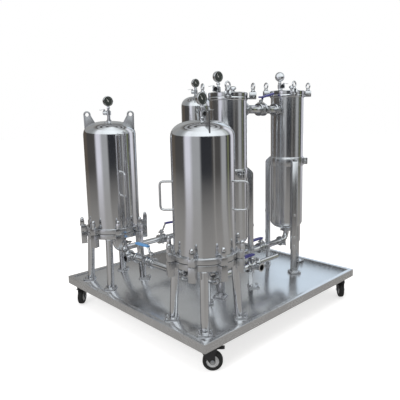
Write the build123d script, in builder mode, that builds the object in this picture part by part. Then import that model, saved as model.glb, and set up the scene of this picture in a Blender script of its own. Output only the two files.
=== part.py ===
from build123d import *
import os
from math import cos, radians, sin, sqrt

os.makedirs("parts", exist_ok=True)

# Millimetres throughout. The origin lies on the floor under the centre of the deck.
# +Z is up, +X runs along the deck's long side, +Y across it.

# General clearances
fit_gap = 0.05
run_gap = 0.05
swivel_gap = 0.3
slide_gap = 0.1
cut_over = 1.0

# Deck tray
deck_length = 1400.0
deck_width = 1350.0
deck_top = 180.0
skirt_height = 48.0
deck_sheet = 3.0
rim_width = 28.0
floor_recess = 6.0
lower_flange_width = 30.0
bearer_width = 40.0
bearer_height = 30.0
bearer_count = 3
corner_plate_size = 120.0

# Casters
wheel_radius = 50.0
wheel_width = 32.0
tyre_thickness = 11.0
hub_width = 26.0
axle_radius = 6.0
axle_head_radius = 10.0
axle_head_height = 5.0
fork_sheet = 4.0
fork_leg_width = 26.0
fork_trail = 32.0
wheel_side_gap = 3.0
crown_radius = 30.0
crown_bottom = 108.0
crown_height = 8.0
kingpin_radius = 7.0
kingpin_head_radius = 10.0
kingpin_head_height = 4.0
race_radius = 33.0
caster_plate_length = 100.0
caster_plate_width = 84.0
caster_plate_thickness = 4.0
caster_plate_corner = 8.0
caster_inset_x = 70.0
caster_inset_y = 67.0
caster_headings = {"front": -46.0, "right": -136.0, "left": -136.0, "back": 44.0}
pedal_width = 30.0
pedal_length = 46.0
pedal_thickness = 4.0
pedal_pin_radius = 4.0
pedal_knuckle_radius = 7.0
pedal_lift = 4.0
pedal_pivot_height = 112.0
pedal_pivot_reach = 46.0
pedal_ear_radius = 8.0

# Cartridge housings: radius and shoulder height differ, the clamp joint is alike
base_flange_bottom = 486.0
base_flange_thickness = 30.0
gasket_thickness = 3.0
bell_flange_thickness = 28.0
flange_overhang = 14.0
gasket_setback = 5.0
shell_wall = 3.0
housings = {
    "left": {"at": (-490.0, 400.0), "radius": 160.0, "shoulder": 1140.0, "dome": 68.0,
             "bolt_turn": -160.0, "bolts": 8, "leg_turn": -45.0, "handle_turn": -102.0,
             "lug_turn": -46.0, "gauge_turn": -100.0, "gauge_rise": 122.0, "vent_turn": 134.0,
             "vent_rise": 50.0},
    "front": {"at": (-490.0, -463.0), "radius": 160.0, "shoulder": 1140.0, "dome": 68.0,
              "bolt_turn": -151.0, "bolts": 8, "leg_turn": -45.0, "handle_turn": -50.0,
              "lug_turn": -120.0, "gauge_turn": -90.0, "gauge_rise": 102.0, "vent_turn": -46.0,
              "vent_rise": 28.0},
    "rear": {"at": (245.0, 400.0), "radius": 109.5, "shoulder": 1325.0, "dome": 56.0,
             "bolt_turn": -151.0, "bolts": 6, "leg_turn": -45.0, "handle_turn": -50.0,
             "lug_turn": -136.0, "gauge_turn": -97.0, "gauge_rise": 97.0, "vent_turn": 134.0,
             "vent_rise": 32.0},
}
dish_inset = 30.0
dish_depth = 34.0
leg_radius = 21.2
leg_wall = 2.0
leg_top_inset = 6.0
leg_splay = 18.0
leg_overrun = 20.0
foot_size = 70.0
foot_thickness = 8.0
foot_offset = 10.0
clamp_block_width = 36.0
clamp_block_depth = 34.0
clamp_block_drop = 45.0
clamp_block_rise = 10.0
clamp_hole_radius = 6.6
clamp_bolt_radius = 6.0
acorn_radius = 13.0
acorn_height = 30.0
clamp_bolt_rise = 53.0
washer_radius = 15.0
washer_thickness = 4.0
clamp_bolt_reach = 24.5
clamp_bolt_inset = 6.0
handle_spacing = 146.0
handle_reach = 64.0
handle_bar_radius = 6.0
handle_bend_radius = 20.0
handle_centre_height = 828.0
lug_thickness = 8.0
lug_hole_radius = 12.0
lug_eye_radius = 22.0
lug_eye_inset = 24.0
lug_eye_rise = 40.0
lug_root_outer = 4.0
lug_root_inner = 70.0

# Gauges and vent cocks
gauge_radius = 31.5
gauge_depth = 30.0
gauge_setback = 8.0
gauge_stem_radius = 7.0
gauge_port_radius = 5.0
vent_body_radius = 13.0
vent_body_length = 34.0
vent_lever_length = 32.0
vent_lever_width = 9.0
vent_lever_thickness = 2.5
vent_boss_radius = 5.5
vent_boss_rise = 17.0
vent_boss_inset = 8.0
vent_pin_radius = 2.5
vent_pin_height = 4.0
stem_collar_radius = 15.0
stem_collar_lift = 2.0
stem_collar_height = 8.0

# Bag filters
bags = {
    "middle": {"at": (-108.0, -272.0), "top": 1315.0, "collar": 865.0, "leg_turn": -40.0,
               "bolt_turn": -46.0, "gauge_turn": -96.0, "gauge_rise": 91.0, "gauge_offset": 55.0,
               "vent_turn": 134.0, "vent_rise": 20.0},
    "right": {"at": (465.0, -272.0), "top": 1347.0, "collar": 895.0, "leg_turn": 0.0,
              "bolt_turn": -36.0, "gauge_turn": 25.0, "gauge_rise": 92.0, "gauge_offset": 50.0,
              "vent_turn": -46.0, "vent_rise": 30.0},
}
bag_radius = 109.5
bag_knuckle = 505.0
bag_dish_depth = 54.0
bag_flange_height = 20.0
bag_flange_overhang = 5.0
bag_lid_height = 24.0
bag_gasket = 2.0
collar_height = 60.0
collar_thickness = 6.0
bag_leg_count = 3
bag_leg_circle = 135.0
bag_leg_width = 40.0
bag_leg_depth = 30.0
bag_leg_sheet = 4.0
bag_leg_bottom = 330.0
bag_post_top = 600.0
eye_count = 4
eye_circle = 146.0
eye_bolt_radius = 7.0
eye_ring_radius = 16.0
eye_bar_radius = 4.5
eye_ring_turn = 30.0
eye_nut_radius = 14.0
eye_nut_height = 14.0
eye_block_width = 36.0
eye_block_depth = 40.0
eye_block_lift = 7.0
eye_block_height = 40.0
eye_neck_length = 9.4
eye_neck_width = 20.0
eye_neck_height = 12.0
bag_gauge_side = 134.0

# Sanitary pipework
pipe_height = 370.0
tube_radius = 19.05
tube_wall = 1.65
stub_radius = 14.0
stub_wall = 1.5
ferrule_radius = 25.25
ferrule_thickness = 3.0
clamp_radius = 33.0
clamp_width = 14.0
clamp_land_radius = 22.5
clamp_ear_length = 15.0
clamp_ear_thickness = 18.0
clamp_groove_gap = 0.25
wing_screw_radius = 4.0
wing_span = 26.0
wing_depth = 5.0
wing_height = 12.0
elbow_radius = 57.0
elbow_tangent = 12.0
tee_half = 44.0
tee_run_extra = 0.2
link_nozzle = 35.0
link_height = 1268.0
link_radius = 25.4
link_ferrule_radius = 32.0
link_clamp_radius = 40.0
link_land_radius = 29.0
valve_length = 44.0
valve_bulge = 9.0
valve_bulge_length = 22.0
valve_plate_radius = 22.0
valve_plate_thickness = 3.0
valve_seat_depth = 5.0
valve_neck_radius = 9.0
front_body_radius = 26.0
front_body_half = 27.0
valve_stem_radius = 4.0
disc_thickness = 4.0
disc_gap = 0.3
lever_width = 28.0
lever_thickness = 11.0
lever_hub_radius = 12.0
lever_hub_height = 14.0
lever_root = 5.0
nozzle_offset = 92.0

# Places along the pipe runs
run_valve_x = -118.0
manifold_valve_y = 10.0
manifold_tee_y = 195.0
manifold_branch = 60.0
front_valve_x = -119.0
front_branch_end = 72.0
front_stub_end = 115.0
bag_valve_x = 190.0
link_valve_x = 190.0

floor_top = deck_top - floor_recess
gasket_bottom = base_flange_bottom + base_flange_thickness
bell_flange_bottom = gasket_bottom + gasket_thickness
bell_flange_top = bell_flange_bottom + bell_flange_thickness
foot_top = floor_top + foot_thickness
bag_lid_rise = bag_flange_height + bag_gasket
bag_lid_top_rise = bag_lid_rise + bag_lid_height
quarter = 90.0


def polar(centre, radius, turn):
    """Plan point at a radius and turn (degrees) round a centre."""
    return (centre[0] + radius * cos(radians(turn)), centre[1] + radius * sin(radians(turn)))


def turned_plane(centre, turn, height):
    """Plane whose X axis points outward at the given turn, with its normal upward."""
    heading = (cos(radians(turn)), sin(radians(turn)), 0)
    return Plane(origin=(centre[0], centre[1], height), x_dir=heading, z_dir=(0, 0, 1))


def add_ring(centre, outer, inner, bottom, height):
    """Adds a flat ring, or a disc where inner is 0."""
    with BuildSketch(Plane((centre[0], centre[1], bottom))) as profile:
        Circle(outer)
        if inner > 0:
            Circle(inner, mode=Mode.SUBTRACT)
    extrude(profile.sketch, amount=height)


def save(builder, name):
    builder.part.label = name
    export_step(builder.part, f"parts/{name}.step")


# Deck tray
def add_deck_band(width, bottom, top, inset=0.0):
    with BuildSketch(Plane.XY.offset(bottom)) as profile:
        Rectangle(deck_length - 2 * inset, deck_width - 2 * inset)
        Rectangle(deck_length - 2 * inset - 2 * width, deck_width - 2 * inset - 2 * width, mode=Mode.SUBTRACT)
    extrude(profile.sketch, amount=top - bottom)


def add_deck_bands():
    skirt_bottom = deck_top - skirt_height
    add_deck_band(deck_sheet, skirt_bottom, deck_top)
    add_deck_band(rim_width, deck_top - deck_sheet, deck_top)
    add_deck_band(deck_sheet, floor_top - deck_sheet, deck_top, rim_width - deck_sheet)
    add_deck_band(lower_flange_width, skirt_bottom, skirt_bottom + deck_sheet)


def keep_mitred(half_along, half_across, plane):
    """Keeps the two opposite rails that a pair of mitred wedges covers."""
    reach = min(half_along, half_across)
    with BuildSketch(plane.offset(deck_top - skirt_height)) as profile:
        for side in (-1, 1):
            Polygon(
                (-half_along, side * half_across),
                (half_along, side * half_across),
                (half_along - reach / 2, side * (half_across - reach / 2)),
                (-half_along + reach / 2, side * (half_across - reach / 2)),
                align=None,
            )
    extrude(profile.sketch, amount=skirt_height, mode=Mode.INTERSECT)


with BuildPart() as deck_rails_long:
    add_deck_bands()
    keep_mitred(deck_length / 2, deck_width / 2, Plane.XY)

cross_plane = Plane(origin=(0, 0, 0), x_dir=(0, 1, 0), z_dir=(0, 0, 1))
with BuildPart() as deck_rails_cross:
    add_deck_bands()
    keep_mitred(deck_width / 2, deck_length / 2, cross_plane)

with BuildPart() as deck_floor:
    with BuildSketch(Plane.XY.offset(floor_top - deck_sheet)):
        Rectangle(deck_length - 2 * rim_width, deck_width - 2 * rim_width)
    extrude(amount=deck_sheet)

bearer_top = floor_top - deck_sheet
bearer_span = deck_width - 2 * rim_width
with BuildPart() as deck_bearers:
    with Locations(Location((0, 0, bearer_top - bearer_height / 2))):
        with GridLocations(deck_length / (bearer_count + 1), 0, bearer_count, 1):
            Box(bearer_width, bearer_span, bearer_height)
            Box(bearer_width - 2 * deck_sheet, bearer_span, bearer_height - 2 * deck_sheet,
                mode=Mode.SUBTRACT)

corner_x = deck_length / 2 - lower_flange_width
corner_y = deck_width / 2 - lower_flange_width
with BuildPart() as corner_plates:
    with BuildSketch(Plane.XY.offset(deck_top - skirt_height)):
        for side_x in (-1, 1):
            for side_y in (-1, 1):
                with Locations((side_x * (corner_x - corner_plate_size / 2),
                                side_y * (corner_y - corner_plate_size / 2))):
                    Rectangle(corner_plate_size, corner_plate_size)
    extrude(amount=deck_sheet)

# Casters
caster_x = deck_length / 2 - caster_inset_x
caster_y = deck_width / 2 - caster_inset_y
caster_at = {
    "front": (-caster_x, -caster_y),
    "right": (caster_x, -caster_y),
    "left": (-caster_x, caster_y),
    "back": (caster_x, caster_y),
}
caster_plate_top = deck_top - skirt_height
caster_plate_bottom = caster_plate_top - caster_plate_thickness
crown_top = crown_bottom + crown_height
fork_inner = wheel_width / 2 + wheel_side_gap
fork_outer = fork_inner + fork_sheet

with BuildPart() as caster_plates:
    for name, at in caster_at.items():
        with BuildSketch(Plane((at[0], at[1], caster_plate_bottom))):
            RectangleRounded(caster_plate_length, caster_plate_width, caster_plate_corner)
        extrude(amount=caster_plate_thickness)
        add_ring(at, race_radius, 0, crown_top + swivel_gap, caster_plate_bottom - crown_top - swivel_gap)
        pin_bottom = crown_bottom - swivel_gap
        add_ring(at, kingpin_radius, 0, pin_bottom, crown_top + swivel_gap - pin_bottom)
        add_ring(at, kingpin_head_radius, 0, pin_bottom - kingpin_head_height, kingpin_head_height)


def wheel_centre(name):
    at = polar(caster_at[name], fork_trail, caster_headings[name])
    return (at[0], at[1], wheel_radius)


def side_plane(name, offset):
    """Upright plane beside the wheel: X along the heading, normal along the axle."""
    turn = radians(caster_headings[name])
    heading = (cos(turn), sin(turn), 0)
    across = (sin(turn), -cos(turn), 0)
    at = caster_at[name]
    origin = (at[0] + offset * across[0], at[1] + offset * across[1], 0)
    return Plane(origin=origin, x_dir=heading, z_dir=across)


pedal_pivot = (pedal_pivot_reach, pedal_pivot_height)


def build_fork(name):
    at = caster_at[name]
    axle_at = (fork_trail, wheel_radius)
    with BuildPart() as fork:
        with BuildSketch(turned_plane(at, caster_headings[name], crown_bottom)) as profile:
            with Locations((fork_trail / 4, 0)):
                Rectangle(2 * crown_radius, 2 * fork_outer)
        extrude(profile.sketch, amount=crown_height)
        for side in (-1, 1):
            start = side * fork_inner if side > 0 else side * fork_outer
            with BuildSketch(side_plane(name, start)) as profile:
                with BuildLine():
                    Polyline(
                        (fork_trail / 4 - crown_radius, crown_bottom),
                        (fork_trail / 4 + crown_radius, crown_bottom),
                        (fork_trail + fork_leg_width / 2, wheel_radius),
                        (fork_trail - fork_leg_width / 2, wheel_radius),
                        close=True,
                    )
                make_face()
                with Locations(axle_at):
                    Circle(fork_leg_width / 2)
                with Locations(pedal_pivot):
                    Circle(pedal_ear_radius)
                with Locations((pedal_pivot[0] - pedal_ear_radius, pedal_pivot[1])):
                    Rectangle(2 * pedal_ear_radius, 2 * pedal_ear_radius)
            extrude(profile.sketch, amount=fork_sheet)
        with BuildSketch(side_plane(name, -2 * fork_outer)) as profile:
            with Locations(axle_at):
                Circle(axle_radius + fit_gap)
            with Locations(pedal_pivot):
                Circle(pedal_pin_radius + run_gap)
        extrude(profile.sketch, amount=4 * fork_outer, mode=Mode.SUBTRACT)
        add_bore(at, kingpin_radius + run_gap, crown_bottom - cut_over, crown_height + 2 * cut_over)
        add_axle(name, axle_at)
    fork.part.label = f"{name}_caster_fork"
    export_step(fork.part, f"parts/{name}_caster_fork.step")


def add_bore(centre, radius, bottom, height):
    with BuildSketch(Plane((centre[0], centre[1], bottom))) as profile:
        Circle(radius)
    extrude(profile.sketch, amount=height, mode=Mode.SUBTRACT)


def add_axle(name, axle_at):
    length = 2 * (fork_outer + fit_gap)
    with BuildSketch(side_plane(name, -length / 2)) as profile:
        with Locations(axle_at):
            Circle(axle_radius)
    extrude(profile.sketch, amount=length)
    for start in (-length / 2 - axle_head_height, length / 2):
        with BuildSketch(side_plane(name, start)) as profile:
            with Locations(axle_at):
                RegularPolygon(axle_head_radius, 6)
        extrude(profile.sketch, amount=axle_head_height)


def build_wheel(name):
    axle_at = (fork_trail, wheel_radius)
    hub_radius = wheel_radius - tyre_thickness
    with BuildPart() as tyre:
        with BuildSketch(side_plane(name, -wheel_width / 2)) as profile:
            with Locations(axle_at):
                Circle(wheel_radius)
                Circle(hub_radius + fit_gap, mode=Mode.SUBTRACT)
        extrude(profile.sketch, amount=wheel_width)
    save(tyre, f"{name}_tyre")
    with BuildPart() as hub:
        with BuildSketch(side_plane(name, -hub_width / 2)) as profile:
            with Locations(axle_at):
                Circle(hub_radius)
                Circle(axle_radius + run_gap, mode=Mode.SUBTRACT)
        extrude(profile.sketch, amount=hub_width)
    save(hub, f"{name}_hub")


for caster in caster_at:
    build_fork(caster)
    build_wheel(caster)

save(deck_rails_long, "deck_rails_long")
save(deck_rails_cross, "deck_rails_cross")
save(deck_floor, "deck_floor")
save(deck_bearers, "deck_bearers")
save(corner_plates, "corner_plates")
save(caster_plates, "caster_plates")


# Brake pedals
def build_pedal(name):
    pin_length = 2 * fork_outer
    with BuildPart() as pedal:
        with BuildSketch(side_plane(name, -pedal_width / 2)) as profile:
            with Locations(pedal_pivot):
                Circle(pedal_knuckle_radius)
            with Locations((pedal_pivot[0] + pedal_length / 2, pedal_pivot[1] + pedal_lift)):
                Rectangle(pedal_length, pedal_thickness)
        extrude(profile.sketch, amount=pedal_width)
        with BuildSketch(side_plane(name, -pin_length / 2)) as profile:
            with Locations(pedal_pivot):
                Circle(pedal_pin_radius)
        extrude(profile.sketch, amount=pin_length)
    save(pedal, f"{name}_brake_pedal")


for caster in caster_at:
    build_pedal(caster)


# Cartridge housings
def radial_plane(centre, turn=0.0):
    """Upright plane through a housing's axis: X outward at the turn, Y up."""
    heading = (cos(radians(turn)), sin(radians(turn)), 0)
    normal = (sin(radians(turn)), -cos(radians(turn)), 0)
    return Plane(origin=(centre[0], centre[1], 0), x_dir=heading, z_dir=normal)


def upright_axis(centre):
    return Axis((centre[0], centre[1], 0), (0, 0, 1))


def add_dished_head(centre, radius, depth, seam, wall, side, port):
    """Adds a hollow half-elliptical head with a round port: side 1 bulges up, -1 hangs down."""
    corner = (Align.MIN, Align.MIN) if side > 0 else (Align.MIN, Align.MAX)
    with BuildSketch(radial_plane(centre)) as profile:
        with Locations((0, seam)):
            Ellipse(radius, depth)
            Ellipse(radius - wall, depth - wall, mode=Mode.SUBTRACT)
            with Locations((port, 0)):
                Rectangle(radius + 1, depth + 1, align=corner, mode=Mode.INTERSECT)
    revolve(profile.sketch, axis=upright_axis(centre))


def add_nozzle(point, drop_from):
    """Adds a short downward stub with a ferrule and opens the dish above it."""
    bottom = pipe_height + elbow_radius + elbow_tangent
    add_ring(point, tube_radius, tube_radius - tube_wall, bottom, drop_from - bottom)
    add_ring(point, ferrule_radius, tube_radius - tube_wall, bottom, ferrule_thickness)
    add_bore(point, tube_radius - tube_wall, bottom, drop_from - bottom)


left_at = housings["left"]["at"]
front_at = housings["front"]["at"]
rear_at = housings["rear"]["at"]
middle_at = bags["middle"]["at"]
right_at = bags["right"]["at"]
nozzles = {
    "left": [left_at, (left_at[0], left_at[1] - nozzle_offset)],
    "front": [front_at, (front_at[0], front_at[1] + nozzle_offset)],
    "rear": [rear_at],
}

with BuildPart() as cartridge_shells:
    for housing in housings.values():
        add_ring(housing["at"], housing["radius"], housing["radius"] - shell_wall,
                 bell_flange_bottom, housing["shoulder"] - bell_flange_bottom)
save(cartridge_shells, "cartridge_shells")

with BuildPart() as cartridge_domes:
    for housing in housings.values():
        add_dished_head(housing["at"], housing["radius"], housing["dome"], housing["shoulder"], shell_wall, 1,
                        gauge_port_radius)
save(cartridge_domes, "cartridge_domes")

with BuildPart() as bell_flanges:
    for housing in housings.values():
        add_ring(housing["at"], housing["radius"] + flange_overhang, housing["radius"] + fit_gap,
                 bell_flange_bottom, bell_flange_thickness)
save(bell_flanges, "bell_flanges")

with BuildPart() as gaskets:
    for housing in housings.values():
        add_ring(housing["at"], housing["radius"] + flange_overhang - gasket_setback,
                 housing["radius"] - shell_wall, gasket_bottom, gasket_thickness)
    for bag in bags.values():
        add_ring(bag["at"], bag_radius, bag_radius - shell_wall, bag["top"] + bag_flange_height, bag_gasket)
save(gaskets, "gaskets")

with BuildPart() as base_flanges:
    for name, housing in housings.items():
        dish_radius = housing["radius"] - dish_inset
        add_ring(housing["at"], housing["radius"] + flange_overhang, dish_radius - shell_wall,
                 base_flange_bottom, base_flange_thickness)
        add_dished_head(housing["at"], dish_radius, dish_depth, base_flange_bottom, shell_wall, -1,
                        gauge_port_radius)
        for index, point in enumerate(nozzles[name]):
            reach = dish_depth - shell_wall / 2 if index == 0 else dish_depth * 0.6
            add_nozzle(point, base_flange_bottom - reach)
            add_bore(point, tube_radius - tube_wall, base_flange_bottom - dish_depth - 1, dish_depth)
save(base_flanges, "base_flanges")


def add_leg(centre, turn, radius):
    top = base_flange_bottom
    head = radius - leg_top_inset
    foot = head + leg_splay
    top_point = polar(centre, head, turn)
    foot_point = polar(centre, foot, turn)
    run = Vector(top_point[0] - foot_point[0], top_point[1] - foot_point[1], top - foot_top)
    start = Vector(foot_point[0], foot_point[1], foot_top) - run.normalized() * leg_overrun
    with BuildSketch(Plane(origin=start, z_dir=run)) as profile:
        Circle(leg_radius)
        Circle(leg_radius - leg_wall, mode=Mode.SUBTRACT)
    extrude(profile.sketch, amount=run.length + 2 * leg_overrun)


leg_spots = [
    (housing, housing["leg_turn"] + 90.0 * index) for housing in housings.values() for index in range(4)
]
with BuildPart() as housing_legs:
    for housing, turn in leg_spots:
        add_leg(housing["at"], turn, housing["radius"])
    with Locations(Location((0, 0, (foot_top + base_flange_bottom) / 2))):
        Box(deck_length, deck_width, base_flange_bottom - foot_top, mode=Mode.INTERSECT)
save(housing_legs, "housing_legs")

bag_leg_spots = [
    (bag, bag["leg_turn"] + 360.0 / bag_leg_count * index)
    for bag in bags.values() for index in range(bag_leg_count)
]
with BuildPart() as foot_plates:
    for housing, turn in leg_spots:
        spot = polar(housing["at"], housing["radius"] - leg_top_inset + leg_splay + foot_offset, turn)
        with BuildSketch(turned_plane(spot, turn, floor_top)):
            Rectangle(foot_size, foot_size)
        extrude(amount=foot_thickness)
    for bag, turn in bag_leg_spots:
        spot = polar(bag["at"], bag_leg_circle + foot_offset, turn)
        with BuildSketch(turned_plane(spot, turn, floor_top)):
            Rectangle(foot_size, foot_size)
        extrude(amount=foot_thickness)
save(foot_plates, "foot_plates")

bolt_spots = [
    (housing, housing["bolt_turn"] + 360.0 / housing["bolts"] * index)
    for housing in housings.values() for index in range(housing["bolts"])
]
block_inner = flange_overhang + fit_gap
block_bottom = base_flange_bottom - clamp_block_drop
block_top = bell_flange_top + clamp_block_rise


def add_clamp_block(housing, turn, bottom, top):
    spot = polar(housing["at"], housing["radius"] + block_inner + clamp_bolt_reach, turn)
    with BuildSketch(turned_plane(spot, turn, bottom)) as profile:
        with Locations((clamp_block_depth / 2 - clamp_bolt_reach, 0)):
            Rectangle(clamp_block_depth, clamp_block_width)
        Circle(clamp_hole_radius, mode=Mode.SUBTRACT)
    extrude(profile.sketch, amount=top - bottom)


with BuildPart() as clamp_blocks:
    for housing, turn in bolt_spots:
        add_clamp_block(housing, turn, block_bottom, gasket_bottom)
        add_clamp_block(housing, turn, bell_flange_bottom, block_top)
save(clamp_blocks, "clamp_blocks")

with BuildPart() as clamp_bolts:
    for housing, turn in bolt_spots:
        spot = polar(housing["at"], housing["radius"] + block_inner + clamp_bolt_reach, turn)
        bottom = block_bottom + clamp_bolt_inset
        nut_bottom = block_top + slide_gap
        add_ring(spot, clamp_bolt_radius, 0, bottom, block_top + clamp_bolt_rise - bottom)
        add_ring(spot, washer_radius, 0, nut_bottom, washer_thickness)
        with BuildSketch(Plane((spot[0], spot[1], nut_bottom + washer_thickness))):
            RegularPolygon(acorn_radius, 6)
        extrude(amount=acorn_height)
save(clamp_bolts, "clamp_bolts")


def add_handle(centre, radius, turn):
    low = handle_centre_height - handle_spacing / 2
    high = handle_centre_height + handle_spacing / 2
    reach = radius + handle_reach
    with BuildLine(radial_plane(centre, turn)) as path:
        FilletPolyline((radius, low), (reach, low), (reach, high), (radius, high), radius=handle_bend_radius)
    start = polar(centre, radius, turn)
    heading = (cos(radians(turn)), sin(radians(turn)), 0)
    with BuildSketch(Plane(origin=(start[0], start[1], low), z_dir=heading)) as profile:
        Circle(handle_bar_radius)
    sweep(profile.sketch, path=path.wires()[0])


handle_spots = [
    (housing, housing["handle_turn"] + 180.0 * index) for housing in housings.values() for index in range(2)
]
with BuildPart() as lift_handles:
    for housing, turn in handle_spots:
        add_handle(housing["at"], housing["radius"], turn)
save(lift_handles, "lift_handles")


def lug_eye(housing):
    """Radius and height of a lifting lug's hole."""
    return (housing["radius"] - lug_eye_inset, housing["shoulder"] + housing["dome"] + lug_eye_rise)


def add_lifting_lug(housing, turn):
    eye = lug_eye(housing)
    radius = housing["radius"]
    with BuildSketch(radial_plane(housing["at"], turn).offset(-lug_thickness / 2)) as profile:
        with BuildLine():
            Polyline(
                (radius - lug_root_outer, housing["shoulder"]),
                (eye[0] + lug_eye_radius, eye[1]),
                (eye[0] - lug_eye_radius, eye[1]),
                (radius - lug_root_inner, housing["shoulder"]),
                close=True,
            )
        make_face()
        with Locations(eye):
            Circle(lug_eye_radius)
            Circle(lug_hole_radius, mode=Mode.SUBTRACT)
        with Locations((0, housing["shoulder"])):
            Ellipse(radius + slide_gap, housing["dome"] + slide_gap, mode=Mode.SUBTRACT)
    extrude(profile.sketch, amount=lug_thickness)


lug_spots = [
    (housing, housing["lug_turn"] + 180.0 * index) for housing in housings.values() for index in range(2)
]
with BuildPart() as lifting_lugs:
    for housing, turn in lug_spots:
        add_lifting_lug(housing, turn)
save(lifting_lugs, "lifting_lugs")


# Gauges and vent cocks, one on each housing and bag filter lid
def gauge_spots():
    spots = {}
    for name, housing in housings.items():
        spots[name] = {**housing, "base": housing["shoulder"] + housing["dome"]}
    for name, bag in bags.items():
        at = polar(bag["at"], bag["gauge_offset"], bag_gauge_side)
        spots[name] = {**bag, "at": at, "base": bag["top"] + bag_lid_top_rise}
    return spots


gauges = gauge_spots()


def vent_boss(gauge):
    """Plan point and height of a vent cock's lever pivot."""
    spot = polar(gauge["at"], vent_body_length - vent_boss_inset, gauge["vent_turn"])
    return (spot[0], spot[1], gauge["base"] + gauge["vent_rise"] + vent_boss_rise)


def case_plane(gauge):
    """Plane of a gauge case's back, with its normal towards the dial."""
    facing = radians(gauge["gauge_turn"])
    direction = (cos(facing), sin(facing), 0)
    spot = polar(gauge["at"], -gauge_depth / 2 - gauge_setback, gauge["gauge_turn"])
    return Plane(origin=(spot[0], spot[1], gauge["base"] + gauge["gauge_rise"]), z_dir=direction)


def add_gauge_stem(gauge):
    at = gauge["at"]
    vent_height = gauge["base"] + gauge["vent_rise"]
    add_ring(at, gauge_stem_radius, 0, gauge["base"], gauge["gauge_rise"])
    add_ring(at, stem_collar_radius, 0, gauge["base"] + stem_collar_lift, stem_collar_height)
    turn = radians(gauge["vent_turn"])
    with BuildSketch(Plane(origin=(at[0], at[1], vent_height), z_dir=(cos(turn), sin(turn), 0))) as profile:
        Circle(vent_body_radius)
    extrude(profile.sketch, amount=vent_body_length)
    boss = vent_boss(gauge)
    add_ring(boss, vent_boss_radius, 0, vent_height, vent_boss_rise)
    add_ring(boss, vent_pin_radius, 0, boss[2], vent_pin_height)
    with BuildSketch(case_plane(gauge)) as profile:
        Circle(gauge_radius + fit_gap)
    extrude(profile.sketch, amount=gauge_depth, mode=Mode.SUBTRACT)


with BuildPart() as gauge_stems:
    for gauge in gauges.values():
        add_gauge_stem(gauge)
save(gauge_stems, "gauge_stems")


with BuildPart() as gauge_cases:
    for gauge in gauges.values():
        with BuildSketch(case_plane(gauge)):
            Circle(gauge_radius)
        extrude(amount=gauge_depth)
save(gauge_cases, "gauge_cases")


def build_vent_lever(name):
    boss = vent_boss(gauges[name])
    bottom = boss[2] + swivel_gap
    with BuildPart() as lever:
        with BuildSketch(turned_plane(boss, gauges[name]["vent_turn"], bottom)) as profile:
            Circle(vent_lever_width * 0.7)
            with Locations((vent_lever_length / 2, 0)):
                Rectangle(vent_lever_length, vent_lever_width)
            Circle(vent_pin_radius + run_gap, mode=Mode.SUBTRACT)
        extrude(profile.sketch, amount=vent_lever_thickness)
    save(lever, f"{name}_vent_lever")


for gauge_name in gauges:
    build_vent_lever(gauge_name)


# Bag filters
with BuildPart() as bag_shells:
    for name, bag in bags.items():
        at = bag["at"]
        add_ring(at, bag_radius, bag_radius - shell_wall, bag_knuckle, bag["top"] - bag_knuckle)
        add_dished_head(at, bag_radius, bag_dish_depth, bag_knuckle, shell_wall, -1, gauge_port_radius)
        add_nozzle(at, bag_knuckle - bag_dish_depth + 1)
        add_bore(at, tube_radius - tube_wall, bag_knuckle - bag_dish_depth - 1, 10)
        side = 1 if name == "middle" else -1
        inner = bag_radius - shell_wall / 2
        outer = bag_radius + link_nozzle
        start = Plane(origin=(at[0] + side * inner, at[1], link_height), z_dir=(side, 0, 0))
        with BuildSketch(start):
            Circle(link_radius)
        extrude(amount=outer - inner)
        with BuildSketch(start.offset(outer - inner - ferrule_thickness)):
            Circle(link_ferrule_radius)
        extrude(amount=ferrule_thickness)
        with BuildSketch(start.offset(-10)):
            Circle(link_radius - tube_wall)
        extrude(amount=2 * link_nozzle, mode=Mode.SUBTRACT)
save(bag_shells, "bag_shells")

with BuildPart() as bag_flanges:
    for bag in bags.values():
        add_ring(bag["at"], bag_radius + bag_flange_overhang, bag_radius - shell_wall,
                 bag["top"], bag_flange_height)
save(bag_flanges, "bag_flanges")

with BuildPart() as bag_lids:
    for bag in bags.values():
        add_ring(bag["at"], bag_radius + bag_flange_overhang, 0, bag["top"] + bag_lid_rise, bag_lid_height)
save(bag_lids, "bag_lids")

with BuildPart() as bag_collars:
    for bag in bags.values():
        add_ring(bag["at"], bag_radius + fit_gap + collar_thickness, bag_radius + fit_gap,
                 bag["collar"], collar_height)
save(bag_collars, "bag_collars")


def add_channel(bag, turn, width, depth, sheet, bottom, top, web_at):
    """Adds an upright channel whose web stands at radius web_at and whose flanges point inward."""
    spot = polar(bag["at"], web_at - depth / 2, turn)
    with BuildSketch(turned_plane(spot, turn, bottom)) as profile:
        Rectangle(depth, width)
        with Locations((-sheet / 2, 0)):
            Rectangle(depth - sheet + 0.001, width - 2 * sheet, mode=Mode.SUBTRACT)
    extrude(profile.sketch, amount=top - bottom)


collar_outer = bag_radius + fit_gap + collar_thickness
flange_edge = bag_leg_width / 2 - bag_leg_sheet
bag_leg_seat = sqrt(collar_outer**2 - flange_edge**2) + fit_gap
bag_leg_web = bag_leg_seat + bag_leg_depth
with BuildPart() as bag_legs:
    for bag, turn in bag_leg_spots:
        add_channel(bag, turn, bag_leg_width, bag_leg_depth, bag_leg_sheet, bag_leg_bottom,
                    bag["collar"] + collar_height, bag_leg_web)
save(bag_legs, "bag_legs")

with BuildPart() as bag_leg_posts:
    for bag, turn in bag_leg_spots:
        slack = bag_leg_sheet + slide_gap
        add_channel(bag, turn, bag_leg_width - 2 * slack, bag_leg_depth - slack, bag_leg_sheet, foot_top,
                    bag_post_top, bag_leg_web - slack)
save(bag_leg_posts, "bag_leg_posts")

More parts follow.
